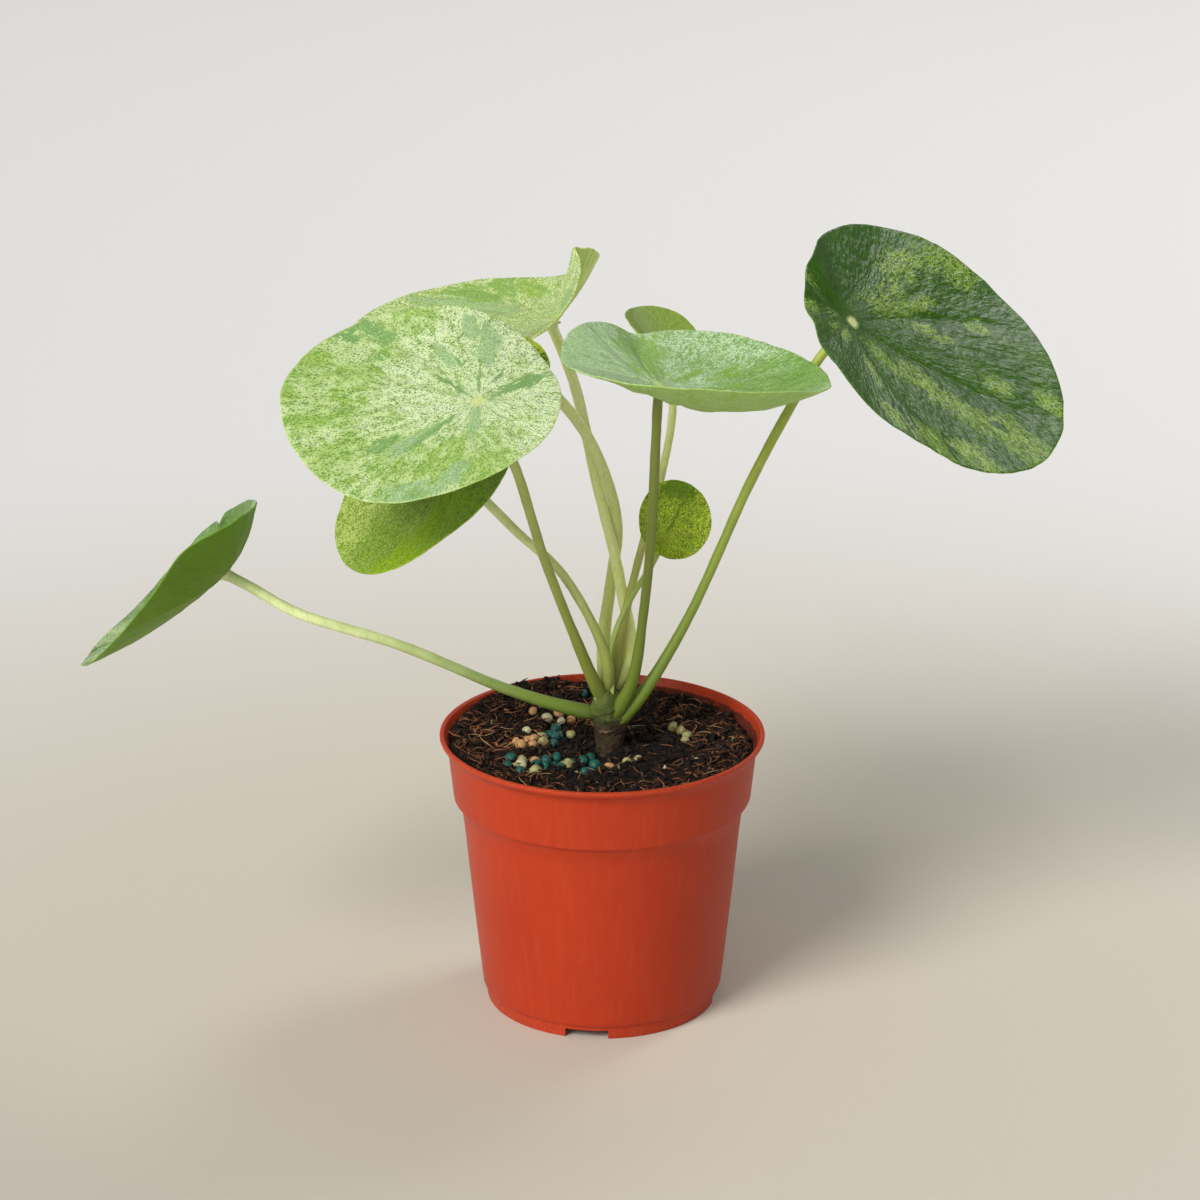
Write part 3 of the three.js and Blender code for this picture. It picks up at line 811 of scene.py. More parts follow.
def grainSpots():
    # places for the feed grains, kept from sinking into one another
    draw = np.random.default_rng(grains["seed"])
    spots = []
    for x, y, across, deep, count, shares in grains["heaps"]:
        for _ in range(count):
            kind = int(draw.choice(4, p=shares))
            radius = draw.uniform(grains["smallest"], grains["largest"])
            for _ in range(30):
                at = np.array([x + across * draw.normal() * 0.6, y + deep * draw.normal() * 0.6])
                if all(np.hypot(*(at - spot[:2])) > 1.02 * (radius + spot[3]) for spot in spots):
                    break
            height = float(soilHeight(at[:1], at[1:])[0])
            spots.append((*at, height + radius - grains["sunk"] + draw.uniform(-0.3, 0.5), radius, kind))
    return spots


def buildGrains():
    for kind, (name, colour, dusty, lumpy) in enumerate(grains["kinds"]):
        work = bmesh.new()
        for k, (x, y, z, radius, own) in enumerate(grainSpots()):
            if own != kind:
                continue
            at = Vector((x * mm + potAxis.x, y * mm + potAxis.y, z * mm))
            squash = 0.85 + 0.25 * noise.random()
            for vert in bmesh.ops.create_icosphere(work, subdivisions=3, radius=radius * mm)["verts"]:
                dent = noise.noise(vert.co * 420 + Vector((k * 5.1, 0, k)))
                grit = noise.noise(vert.co * 1500 + Vector((0, k * 3.3, 0)))
                vert.co = vert.co * (1 + lumpy * dent + (0.02 + 0.12 * lumpy) * grit)
                vert.co.x *= squash
                vert.co += at
        mesh = meshOf(name, work)
        smooth(mesh)
        finishMesh(mesh, makeGrainSkin(name + "Skin", colour, dusty), "soil")


def buildStraws():
    # a few pale broken straws, each laid on the soil at its own heading
    points, faces = [], []
    for k, (x, y, heading, length) in enumerate(soil["straws"]):
        straw = strandMesh(f"straw{k}", 70 + k, 0.03, 6, 10)
        turn = Matrix.Rotation(math.radians(heading), 3, "Z")
        at = Vector((x, y, float(soilHeight(np.array([x]), np.array([y]))[0]) + 1.4)) * mm
        first = len(points)
        points += [turn @ (Vector((v.co.x, v.co.y * 0.3, v.co.z * 0.3)) * length * mm) + at + potAxis
                   for v in straw.vertices]
        faces += [[first + v for v in f.vertices] for f in straw.polygons]
        bpy.data.meshes.remove(straw)
    mesh = meshFrom("paleStraws", points, faces)
    smooth(mesh)
    finishMesh(mesh, makeGrainSkin("strawSkin", soil["bleached"], 0.2), "soil")


noise.seed_set(grains["seed"])
buildSoil()
buildGrains()
buildStraws()
print("soil dressed")

stem = {
    "x": 1.8, "y": 0, "foot": 64, "top": 104, "radius": 4.1, "crown": 5.2, "sheath": 1.3, "spokes": 90,
    "rings": 150, "bark": (66, 60, 36), "brown": (62, 44, 34), "green": (104, 118, 52), "scarTone": (158, 128, 100),
    "rough": ((4.0, 0.45, 60), (1.8, 0.3, 61), (0.9, 0.2, 62)),  # bumps in the bark: size, depth, seed
    # old leaf scars: height share, direction, half width round the trunk, half height
    "scars": ((0.66, -112, 2.4, 0.5), (0.56, 20, 2.2, 0.9), (0.76, -20, 1.5, 0.8), (0.6, 150, 2.2, 0.9),
              (0.83, 95, 1.8, 0.9)),
    # stipules at the crown, coloured as stalks are: foot, heading and lean of the scale, length, half width
    "stipules": ((-1.4, -3.2, 98.5, 205, 72, 7.5, 1.1), (3.0, -3.2, 101, 80, 84, 12, 0.9),
                 (6.2, -2.8, 99, -20, 62, 5, 1.0), (0.5, 3.0, 99.5, 110, 74, 7, 1.1)),
    "seed": 2.0, "stalkTone": (140, 158, 72), "stalkTip": (190, 202, 124),
}
# radii, how far the end runs on past the navel, and how deep in the blade and how near the navel it is cut off
stalkSet = {"base": 2.3, "tip": 1.5, "taper": 0.3, "sides": 20, "rings": 110, "flare": 0.8, "past": 3, "inset": 0.35,
            "nearNavel": 9}

# the bladeTissue group's inputs for a speckled leaf and for a young one
speckledSkin = {
    "Speck Size": 0.54, "Speck Strength": 0.75, "Patch Size": 6.0, "Vein Show": 0.12, "Green Cells": 0.4,
    "Green Specks": 0.2, "Quilt Size": 2.4, "Cream": (222, 236, 196), "Lime": (162, 192, 92), "Green": (118, 158, 92),
    "Grey Green": (152, 182, 136), "Speck": (98, 138, 58), "Navel": (208, 224, 140), "Underside": (150, 174, 92),
    "Rim": (190, 210, 134)}
youngSkin = {
    **speckledSkin, "Speck Size": 0.42, "Patch Size": 3.5, "Quilt Size": 1.6, "Cream": (194, 208, 54),
    "Lime": (160, 178, 14), "Green": (88, 118, 0), "Grey Green": (94, 120, 8), "Speck": (72, 100, 0),
    "Navel": (150, 166, 36), "Underside": (132, 152, 50), "Rim": (112, 134, 24)}
# What leaves share besides. The blade: thickness, how late it curls up, its points round and out, its size against a
# grown leaf, and how deep its quilting, wrinkles, veins' creases and skin are. The stalk: how thick, and how swollen
# at its foot. Solid and limeGain say how strongly the placed patches show.
grown = {
    "thickness": 0.8, "curl": 1.6, "thick": 1.0, "swell": 0.15, "grid": (240, 70), "size": 1.0, "quilt": 0.12,
    "wrinkle": 0.05, "crease": 0.35, "relief": 0.34, "gloss": 0.4, "shine": 0.34, "solid": 1.0, "limeGain": 1.0}
young = {"slot": "leaf_young", "grid": (120, 30), "size": 0.35}

# Each leaf has its solid's measures, and its looks. Patches of each tissue are (direction, from, to, half width):
# where a sector of it lies, in degrees from the tip, shares of the way to the margin, and millimetres.
leaves = {
    "far_left": {
        "at": (-116.5, -8, 144.5), "faces": (182, 48), "tip": 183, "length": 76, "width": 70, "base": 24, "curl": 1.8,
        "lift": (8.5, 13.2, 18, 13, 9, 8, 7, 4.5), "slit": (261, 0.74, 3.4), "thick": 1.08,
        "stalk": ((0, -0.5, 94.5), (-13, -4, 99), (-30, -6, 105.5), (-62.5, -9, 121), (-94, -11, 132.5),
                  (-108, -10, 140.5)),
        # Painted light: the stalk's tip tone is lightened near white, to stand in for light where the blade shades
        # the stalk's upper end.
        "stalkTone": (120, 142, 52), "stalkTip": (232, 242, 178), "slot": "leaf", "seed": 3.1,
        "skin": {"Pale Share": 0.3, "Speck Share": 0.45, "Vein Show": 0.0, "Cream": (188, 210, 156),
                 "Lime": (148, 176, 104), "Green": (90, 122, 46), "Grey Green": (124, 150, 98),
                 "Speck": (74, 106, 34), "Underside": (104, 142, 20), "Rim": (140, 172, 86)},
        "patches": {"dark": [(245, 0.5, 1.0, 9), (60, 0.3, 0.8, 6)], "grey": [(150, 0.4, 0.9, 6)],
                    "pale": [(5, 0.6, 1.1, 9), (340, 0.7, 1.1, 8), (190, 0.7, 1.1, 9)]},
    },
    "front_left": {
        "at": (-36.5, -40, 209), "faces": (-99, 64), "tip": 181, "length": 82.5, "width": 81, "base": 24.5,
        "lift": (4.5, -2, 3, 1.5, -0.5, -3, 3, 2), "quilt": 0.2, "wrinkle": 0.08,
        "stalk": ((1, -1, 98), (-4.5, -6, 112.5), (-17.5, -19, 152.5), (-26, -33.5, 187), (-31, -38.5, 199.5)),
        "stalkTone": (142, 152, 62), "stalkTip": (186, 196, 112), "slot": "leaf_pale", "seed": 0.7, "limeGain": 0.62,
        "skin": {"Pale Share": 1.0, "Speck Share": 0.4, "Speck Strength": 0.9, "Green Cells": 0.5,
                 "Lime": (160, 187, 88), "Cream": (216, 230, 184)},
        "patches": {"dark": [(209, 0.12, 1.04, 2.4), (314, 0.72, 1.02, 3.0), (323, 0.86, 1.02, 2.4),
                    (316, 0.06, 0.32, 1.0), (41, 0.12, 0.56, 1.3), (31, 0.5, 0.68, 1.8), (64, 0.88, 1.0, 3.0),
                    (290, 0.36, 0.48, 0.6), (240, 0.3, 0.5, 0.6), (268, 0.1, 0.4, 0.7), (326, 0.62, 0.68, 0.9)],
                    "grey": [(262, 0.46, 0.9, 2.6), (274, 0.68, 0.9, 1.8), (62, 0.82, 1.04, 6.5),
                    (79, 0.68, 0.9, 3.2), (82, 0.06, 0.4, 1.4), (297, 0.4, 0.62, 1.1), (38, 0.3, 0.62, 1.6)],
                    "lime": [(52, 0.3, 1.3, 36), (348, 0.5, 1.3, 30), (18, 0.5, 1.3, 30), (306, 0.7, 1.3, 16),
                    (92, 0.5, 1.3, 20)]},
    },
    "right": {
        "at": (76.5, 15, 217.5), "faces": (-35, 44), "tip": 5, "length": 101.5, "width": 93.5, "base": 21,
        "lift": (6.5, 4, 3, 4.5, 2.5, 3, 4, 6), "ripple": (9, 0.5), "grid": (300, 90), "veins": (29, 157, 291, 345),
        "stalk": ((2.5, -0.5, 90), (12, -2, 101.5), (26.5, 1, 126), (46, 8, 169), (59, 12, 193.5),
                  (67.5, 14.5, 207.5)),
        "swell": 0.6, "quilt": 0.15, "wrinkle": 0.09, "relief": 0.46, "crease": 0.65, "gloss": 0.25, "shine": 0.3,
        "stalkTone": (126, 148, 50), "stalkTip": (176, 188, 76), "slot": "leaf_dark", "seed": 5.3, "solid": 0.95,
        "skin": {"Pale Share": 0.1, "Speck Share": 0.48, "Speck Size": 0.66, "Speck Strength": 0.95,
                 "Green Cells": 0.12, "Quilt Size": 1.5, "Vein Show": 0.0, "Cream": (140, 168, 62),
                 "Lime": (110, 142, 30), "Green": (46, 88, 0), "Grey Green": (60, 100, 24), "Speck": (50, 92, 4),
                 "Navel": (222, 238, 156), "Underside": (104, 136, 60), "Rim": (70, 104, 34)},
        "patches": {"pale": [(55, 0.54, 0.84, 8.5), (42, 0.78, 1.04, 10.0), (50, 0.22, 0.56, 6.0),
                    (34, 0.3, 0.6, 3.2), (158, 0.4, 1.04, 3.4), (182, 0.26, 0.6, 2.2), (215, 0.3, 0.66, 1.8),
                    (240, 0.2, 0.42, 2.2), (188, 0.7, 1.04, 2.4), (314, 0.12, 0.4, 2.6), (328, 0.24, 0.56, 5.0),
                    (332, 0.46, 0.82, 5.0), (336, 0.7, 1.04, 9.0), (282, 0.3, 0.6, 1.4), (284, 0.74, 1.02, 4.4),
                    (300, 0.74, 1.04, 6.0), (314, 0.78, 1.04, 6.0), (18, 0.34, 0.46, 2.6), (12, 0.42, 0.52, 1.8),
                    (355, 0.62, 0.78, 3.4), (20, 0.64, 0.76, 3.2), (356, 0.86, 1.02, 4.0), (62, 0.3, 0.46, 1.6)],
                    "dark": [(100, 0.3, 1.0, 17), (337, 0.72, 0.8, 1.6), (322, 0.4, 0.48, 1.4),
                    (316, 0.55, 0.64, 1.4)]},
    },
    "centre": {
        "at": (17, -18, 207.5), "faces": (-10, 63), "tip": 8, "length": 83, "width": 77, "base": 31, "curl": 2.5,
        "lift": (22.5, 14, 2, 0.5, -4.5, 4, 16, 24), "fold": (92, 2.4, 6.5), "swell": 0.5, "quilt": 0.24,
        "wrinkle": 0.1, "crease": 0.5,
        "stalk": ((2.5, -1.5, 92.5), (9, -5, 106.5), (13, -8, 134), (15, -12, 160), (16.5, -17, 199.5)),
        "stalkTone": (116, 134, 42), "stalkTip": (122, 132, 52), "slot": "leaf", "seed": 8.4,
        "skin": {"Pale Share": 0.86, "Speck Share": 0.6, "Green Cells": 0.8, "Cream": (204, 224, 188),
                 "Lime": (142, 174, 92), "Green": (130, 168, 58), "Grey Green": (168, 192, 148),
                 "Speck": (104, 146, 66), "Underside": (154, 180, 92), "Rim": (160, 186, 110)},
        "patches": {"dark": [(99, 0.08, 1.04, 7.0), (37, 0.48, 0.78, 2.0), (46, 0.2, 0.55, 1.6),
                    (122, 0.3, 0.8, 1.4), (20, 0.3, 0.7, 1.6), (352, 0.5, 0.9, 1.8)], "grey": [(150, 0.3, 1.0, 11),
                    (182, 0.3, 1.04, 10)], "lime": [(8, 0.4, 1.3, 26)]},
    },
    "lower_left": {
        "at": (-45.5, -15, 182.5), "faces": (-129, 49), "tip": -145, "length": 66.5, "width": 56, "base": 22,
        "lift": (-2, 5, 4, 2.5, 2.5, 2, 0.5, -2), "thick": 0.95,
        "stalk": ((1.8, -0.5, 101), (1, -4.5, 116), (-12.5, -10, 145), (-25.5, -12, 158.5), (-37, -12.5, 171)),
        "stalkTone": (172, 182, 92), "stalkTip": (236, 242, 180), "slot": "leaf", "seed": 2.2, "solid": 1.3,
        "skin": {"Pale Share": 0.3, "Speck Share": 0.46, "Speck Strength": 0.9, "Green Cells": 0.25,
                 "Green Specks": 0.75, "Vein Show": 0.0, "Cream": (180, 194, 106), "Lime": (134, 156, 54),
                 "Green": (148, 178, 0), "Grey Green": (112, 140, 44), "Speck": (88, 118, 6),
                 # Partly painted light: the green tissue is a bright yellow-green, both for the leaf's own colour and
                 # for light coming through the leaf above, whose shadow lies on it.
                 "Underside": (128, 154, 50), "Rim": (136, 160, 50)},
        "patches": {"pale": [(336, 0.2, 1.3, 19), (66, 0.5, 0.9, 2.5)], "grey": [(4, 0.2, 1.04, 6.5),
                    (96, 0.36, 1.04, 6)], "dark": [(62, 0.2, 0.96, 9)]},
    },
    "small_round": {
        **young, "at": (19, 8, 149.5), "faces": (-116, 15), "tip": 57, "length": 24.5, "width": 25, "base": 4.6,
        "lift": (1, 0, 0.5, 2, 2, 2, 1, 0.5), "thick": 0.65,
        "stalk": ((2.8, -0.5, 101), (2.5, -4.5, 117.5), (8.5, 0, 132.5), (14, 6, 139.5), (18, 10.5, 146)),
        "stalkTone": (150, 168, 76), "stalkTip": (182, 196, 104), "seed": 6.6,
        "skin": {**youngSkin, "Pale Share": 0.82, "Speck Share": 0.56, "Speck Strength": 0.9},
        "patches": {"dark": [(14, 0.7, 1.15, 8.0), (2, 0.1, 0.8, 0.6)]},
    },
    "rear_small": {
        **young, "at": (21, 36, 202), "faces": (-35, 60), "tip": 141, "length": 27, "width": 26, "base": 8,
        "lift": (2.5, 5, 4.5, 4, 4, 4.5, 5.5, 5), "curl": 1.5, "thick": 0.85,
        "stalk": ((2.8, 0.5, 101), (6.5, 4, 123), (12.5, 13, 146), (18.5, 21, 166.5), (22, 29, 185)),
        "stalkTone": (176, 180, 86), "stalkTip": (226, 230, 160), "seed": 9.2,
        "skin": {**youngSkin, "Pale Share": 0.8, "Speck Share": 0.3, "Cream": (142, 162, 72), "Lime": (128, 148, 56),
                 "Green": (112, 136, 48), "Grey Green": (118, 142, 60), "Speck": (104, 128, 36)},
        "patches": {},
    },
    "rear_left": {
        "at": (-16.5, 40, 211), "faces": (-77, 92), "tip": 172, "length": 91, "width": 76, "base": 25.5, "curl": 1.5,
        "lift": (-5.5, -3.5, 3, 22, 23.5, 19, 7, 3), "thick": 1.15,
        "stalk": ((2.5, 1, 101), (8.5, 5, 112.5), (5.5, 10, 135.5), (-1.8, 17, 166), (-9, 30, 194.5), (-15, 38, 208)),
        # Painted light: the stalk's tones are lightened near white, to stand in for light that the blades above shade
        # from it.
        "stalkTone": (238, 244, 156), "stalkTip": (246, 253, 194), "slot": "leaf_pale", "seed": 4.9,
        "skin": {"Pale Share": 0.98, "Speck Share": 0.56, "Speck Strength": 1.0, "Green Cells": 0.6,
                 "Green Specks": 0.4, "Green": (134, 172, 82), "Cream": (220, 234, 172), "Lime": (184, 208, 100),
                 # Painted light: the underside is lightened near white, to stand in for light coming through the
                 # curled rear tip; a paler underside is also the leaf's own.
                 "Underside": (222, 234, 142), "Speck": (110, 146, 52)},
        "patches": {"dark": [(316, 0.5, 0.98, 6.0), (303, 0.68, 0.98, 4), (284, 0.7, 0.84, 2.2), (40, 0.5, 0.9, 7)],
                    "grey": [(331, 0.3, 0.9, 3.6), (120, 0.4, 0.8, 4), (262, 0.4, 0.7, 1.6)],
                    "lime": [(290, 0.5, 1.0, 5)]},
    },
    "shaded": {
        **young, "at": (-26.5, -8, 208.5), "faces": (-99, 62), "tip": 181, "length": 36, "width": 33, "base": 11,
        "lift": (3, 2, 2, 2, 1, 2, 2, 3), "thick": 1.15,
        "stalk": ((1.5, 1, 101), (0.5, 9, 116), (3, 15, 135.5), (4.6, 15, 153), (-4, 10, 181.5), (-20.5, -2, 205)),
        # Painted light: the stalk's tones are lightened, to stand in for light that the blades above shade from it.
        "stalkTone": (206, 214, 124), "stalkTip": (236, 242, 176), "seed": 1.5,
        "skin": {**youngSkin, "Pale Share": 0.8, "Speck Share": 0.45},
        "patches": {"dark": [(200, 0.3, 1.0, 2.5)]},
    },
}


def bearing(heading, height):
    heading, height = math.radians(heading), math.radians(height)
    return np.array([math.cos(height) * math.cos(heading), math.cos(height) * math.sin(heading), math.sin(height)])


def bladeAxes(leaf):
    facing = bearing(*leaf["faces"])
    tip = bearing(leaf["tip"], 0)
    tip = tip - tip.dot(facing) * facing
    tip /= np.linalg.norm(tip)
    return np.stack([tip, np.cross(facing, tip), facing])


def reachOf(leaf, turn):
    # from the navel to the margin
    along, across = leaf["length"] / 2, leaf["width"] / 2
    offset = along - leaf["base"]
    a = np.cos(turn) ** 2 / along ** 2 + np.sin(turn) ** 2 / across ** 2
    b = -2 * offset * np.cos(turn) / along ** 2
    c = (offset / along) ** 2 - 1
    return (-b + np.sqrt(b * b - 4 * a * c)) / (2 * a)


def liftOf(leaf, turn):
    # how far the margin rises from the blade's plane: a smooth curve through the eight given lifts
    lift = np.array(leaf["lift"], float)
    place = (turn / (2 * math.pi) % 1) * 8
    start = np.floor(place).astype(int)
    t = place - start
    p0, p1, p2, p3 = (lift[(start + k) % 8] for k in (-1, 0, 1, 2))
    height = 0.5 * (2 * p1 + (p2 - p0) * t + (2 * p0 - 5 * p1 + 4 * p2 - p3) * t ** 2
                    + (3 * p1 - p0 - 3 * p2 + p3) * t ** 3)
    if "ripple" in leaf:
        height = height + leaf["ripple"][1] * np.sin(leaf["ripple"][0] * turn)
    return height


def veinDistance(leaf, turn, share, reach):
    # millimetres to the nearest main vein; they leave the navel all round and bend toward the tip
    if "veins" in leaf:
        starts = np.radians(leaf["veins"])
    else:
        jitter = np.random.default_rng(int(leaf["seed"] * 10)).uniform(-6, 6, 10)
        starts = np.radians(np.array([0, 33, 68, 104, 145, 184, 222, 260, 297, 330]) + jitter)
    nearest = np.full(share.shape, 1e3)
    for start in starts:
        off = np.abs(apart(turn, start - 0.42 * np.sin(start) * share ** 1.3))
        nearest = np.minimum(nearest, off * share * reach)
    return nearest


def patchField(leaf, kind, turn, share, reach):
    # how far inside the placed patches of one kind, 1 at a patch's heart and below 0 outside
    field = np.full(share.shape, -1.0)
    for direction, start, end, half in leaf["patches"].get(kind, ()):
        across = np.abs(apart(turn, math.radians(direction))) * np.maximum(share, 0.02) * reach / half
        along = np.abs(share - (start + end) / 2) / ((end - start) / 2)
        field = np.maximum(field, 1 - np.sqrt(across ** 2 + along ** 4))
    return field


def bladeMesh(name, leaf):
    spokes, rings = leaf["grid"]
    shares = np.concatenate([(np.arange(1, rings) / rings) ** 0.9 * 0.975, [0.985, 0.992, 0.9965, 0.999, 1.0]])
    turn, share = np.meshgrid(np.linspace(0, 2 * math.pi, spokes, endpoint=False), shares)
    size, seed = leaf["size"], int(leaf["seed"] * 10)
    ring = np.stack([np.cos(turn), np.sin(turn), np.zeros_like(turn)], -1)
    reach = reachOf(leaf, turn) * (1 + 0.009 * softNoise(ring, 0.35, seed) + 0.005 * softNoise(ring, 0.12, seed + 1)
                                   + 0.003 * softNoise(ring, 0.05, seed + 6))
    if "slit" in leaf:  # a split in from the margin: direction, where it starts, and its half width in degrees
        direction, start, wide = leaf["slit"]
        off = np.abs((np.degrees(turn) - direction + 180) % 360 - 180)
        reach = reach * (1 - (1 - start) * np.clip(1 - off / wide, 0, 1) ** 0.6)
    lift = liftOf(leaf, turn)
    run = share * np.sqrt(np.maximum(reach ** 2 - lift ** 2, (0.3 * reach) ** 2))
    middle = np.stack([run * np.cos(turn), run * np.sin(turn), lift * share ** leaf["curl"]], -1)
    flat = ring * (share * reach)[..., None]  # millimetres from the navel along the blade
    # slow unevenness, quilting between the veins, and a restless margin
    swell = 0.55 * size * softNoise(flat, 17 * size + 6, seed + 2) * share
    drawn = flat * (np.maximum(share * reach, 1) / 30)[..., None] ** -0.3
    quilt = leaf["quilt"] * (np.abs(softNoise(drawn, 4.6, seed + 3)) * 2 - 0.7)
    quilt = quilt + leaf["wrinkle"] * softNoise(drawn, 2.3, seed + 5)
    edge = 0.45 * size * softNoise(ring, 0.22, seed + 4) * share ** 8
    offVein = veinDistance(leaf, turn, share, reach)
    started = np.clip(share / 0.05, 0, 1)
    valley = leaf["crease"] * np.exp(-(offVein / 2.6) ** 2) * np.sin(math.pi * np.clip(share, 0, 1)) ** 0.7
    middle[..., 2] += swell + quilt * np.clip(share * 4, 0, 1) + edge - valley * started * size
    if "fold" in leaf:  # a fold that deepens out to the margin: direction, depth, half width
        direction, depth, half = leaf["fold"]
        off = apart(turn, math.radians(direction))
        middle[..., 2] -= depth * share ** 1.5 * np.exp(-(off * share * reach / half) ** 2)
    vein = np.exp(-(offVein / (0.75 - 0.35 * share)) ** 2) * (1 - 0.8 * share) * started

    # the upper and lower skins, the blade's thickness apart
    normal = np.cross(np.gradient(middle, axis=0), np.roll(middle, -1, 1) - np.roll(middle, 1, 1))
    normal /= np.linalg.norm(normal, axis=-1, keepdims=True)
    half = leaf["thickness"] / 2 * (1 - 0.3 * share ** 2)
    half = half * np.sqrt(np.clip(1 - (np.clip(share - 0.985, 0, None) / 0.015) ** 2, 0, 1))
    dimple = 0.25 * np.exp(-(share * reach / (1.6 * (0.6 + 0.4 * size))) ** 2)
    depth = 0.3 * (0.5 + 0.5 * size)
    upper = middle + normal * (half - depth * vein - dimple)[..., None]
    lower = middle - normal * (half + 0.8 * depth * vein)[..., None]

    def bothSkins(above, below, navel, navelUnder):
        # one value for each vertex: navel, upper skin, navel beneath, lower skin without the margin
        above, below = (grid.reshape(-1, *grid.shape[2:]) for grid in (above, below[:-1]))
        return np.concatenate([[navel], above, [navelUnder], below])

    local = bothSkins(upper, lower, [0, 0, half[0, 0] - 0.3], [0, 0, -half[0, 0]])
    tops = [1 + i * spokes for i in range(len(shares))]
    under = tops[-1] + spokes
    unders = [under + start for start in tops[:-1]] + tops[-1:]
    faces = fan(0, tops[0], spokes) + fan(under, unders[0], spokes, True)
    for i in range(len(shares) - 1):
        faces += belt(tops[i], tops[i + 1], spokes) + belt(unders[i], unders[i + 1], spokes, True)
    mesh = meshFrom(name, toFrame(local @ bladeAxes(leaf) + np.array(leaf["at"])), faces)
    smooth(mesh)

    kinds = np.stack([patchField(leaf, kind, turn, share, reach) for kind in ("dark", "grey", "pale")], -1)
    kinds = np.where(kinds > 0, kinds * leaf["solid"], kinds)
    lime = np.clip(patchField(leaf, "lime", turn, share, reach) * 1.4, 0, 1) * leaf["limeGain"]
    zeros, nowhere = [0.0, 0.0, 0.0], [-1.0, -1.0, -1.0]
    putAttribute(mesh, "fromNavel", bothSkins(flat, flat, zeros, zeros), "FLOAT_VECTOR")
    putAttribute(mesh, "patches", bothSkins(kinds, kinds, nowhere, nowhere), "FLOAT_VECTOR")
    for label, grid in (("limeZone", lime), ("margin", share), ("vein", vein)):
        putAttribute(mesh, label, bothSkins(grid, grid, 0.0, 0.0))
    putAttribute(mesh, "under", bothSkins(np.zeros_like(share), np.ones_like(share), 0.0, 1.0))
    return mesh


def makeBladeSkin(name, leaf):
    material, tree, shader = newMaterial(name, Subsurface_Weight=0.7, Subsurface_Scale=0.002,
                                         Subsurface_Radius=(0.75, 1.0, 0.25), Specular_IOR_Level=leaf["shine"])
    under = attribute(tree, "under")
    skin = useGroup(tree, bladeTissue, {
        "From Navel": attribute(tree, "fromNavel", "Vector"), "Patches": attribute(tree, "patches", "Vector"),
        "Lime Zone": attribute(tree, "limeZone"), "Margin": attribute(tree, "margin"), "Under": under,
        "Vein": attribute(tree, "vein"), "Seed": leaf["seed"] * 11, **speckledSkin, **leaf["skin"]})
    feedAll(shader, {"Base Color": skin, "Roughness": leaf["gloss"] + (under * 0.2 + skin["Pale"] * 0.05)})
    addBump(shader, skin["Height"], leaf["relief"] * mm, 0.9)
    return material


def stalkLine(leaf, count):
    # the same centripetal curve as the solid's stalk, in even steps, from the stem to the navel
    knots = [np.array(p, float) for p in (*leaf["stalk"], leaf["at"])]
    knots = [2 * knots[0] - knots[1], *knots, 2 * knots[-1] - knots[-2]]
    samples = []
    for p0, p1, p2, p3 in zip(knots, knots[1:], knots[2:], knots[3:]):
        d0, d1, d2 = (math.sqrt(np.linalg.norm(b - a)) for a, b in ((p0, p1), (p1, p2), (p2, p3)))
        m1 = ((p1 - p0) / d0 - (p2 - p0) / (d0 + d1) + (p2 - p1) / d1) * d1
        m2 = ((p2 - p1) / d1 - (p3 - p1) / (d1 + d2) + (p3 - p2) / d2) * d1
        for t in np.linspace(0, 1, 60, endpoint=False):
            samples.append(p1 + m1 * t + (-3 * p1 + 3 * p2 - 2 * m1 - m2) * t ** 2
                           + (2 * p1 - 2 * p2 + m1 + m2) * t ** 3)
    samples = np.array(samples + [knots[-2]])
    length = np.concatenate([[0], np.cumsum(np.linalg.norm(np.diff(samples, axis=0), axis=1))])
    even = np.linspace(0, length[-1], count)
    return np.stack([np.interp(even, length, samples[:, k]) for k in range(3)], -1), even


def makeStalkTree():
    # sweeps a round section along a path; the radius tapers from the stem, swells at the foot, flares at the blade
    tree, given, result = newGroup("stalkSweep", "GeometryNodeTree", {
        "Geometry": "Geometry", "Base Radius": 0.002, "Tip Radius": 0.00125, "Taper Share": 0.3, "Swell": 0.2,
        "Flare": 0.6, "Sides": 20, "Material": "Material"}, {"Geometry": "Geometry"})
    along, fromFoot, toBlade = (pointValue(tree, name) for name in ("along", "fromFoot", "toBlade"))
    gone = calc("POWER", calc("MINIMUM", along / given["Taper Share"], 1.0), 0.7)
    radius = given["Base Radius"] - gone * (given["Base Radius"] - given["Tip Radius"])
    swell = calc("EXPONENT", fromFoot * -0.12) * given["Swell"]
    flare = calc("EXPONENT", toBlade * -0.9) * given["Flare"]
    # the foot starts slim, inside the trunk
    radius = radius * (swell + flare + 1.0) * (fade(fromFoot, -2.0, 7.0) * 0.6 + 0.4)
    curve = addNode(tree, "GeometryNodeMeshToCurve", {"Mesh": given["Geometry"]})
    sized = addNode(tree, "GeometryNodeSetCurveRadius", {"Curve": curve, "Radius": radius})
    ring = addNode(tree, "GeometryNodeCurvePrimitiveCircle", {"Resolution": given["Sides"], "Radius": 1.0})
    swept = addNode(tree, "GeometryNodeCurveToMesh", {"Curve": sized, "Profile Curve": ring, "Fill Caps": True})
    sizes = swept.socket.node.inputs
    if "Scale" in sizes:  # newer versions scale by this input, not by the curve's radius alone
        feed(sizes["Scale"], addNode(tree, "GeometryNodeInputRadius"))
    # the slight unevenness of a grown stalk
    wobble = addNode(tree, "ShaderNodeTexNoise", {"Scale": 160.0, "Detail": 2.0})
    push = vectorCalc("SCALE", addNode(tree, "GeometryNodeInputNormal"), Scale=(wobble - 0.5) * 0.00035)
    moved = addNode(tree, "GeometryNodeSetPosition", {"Geometry": swept, "Offset": push})
    return closeTree(tree, moved, given, result)


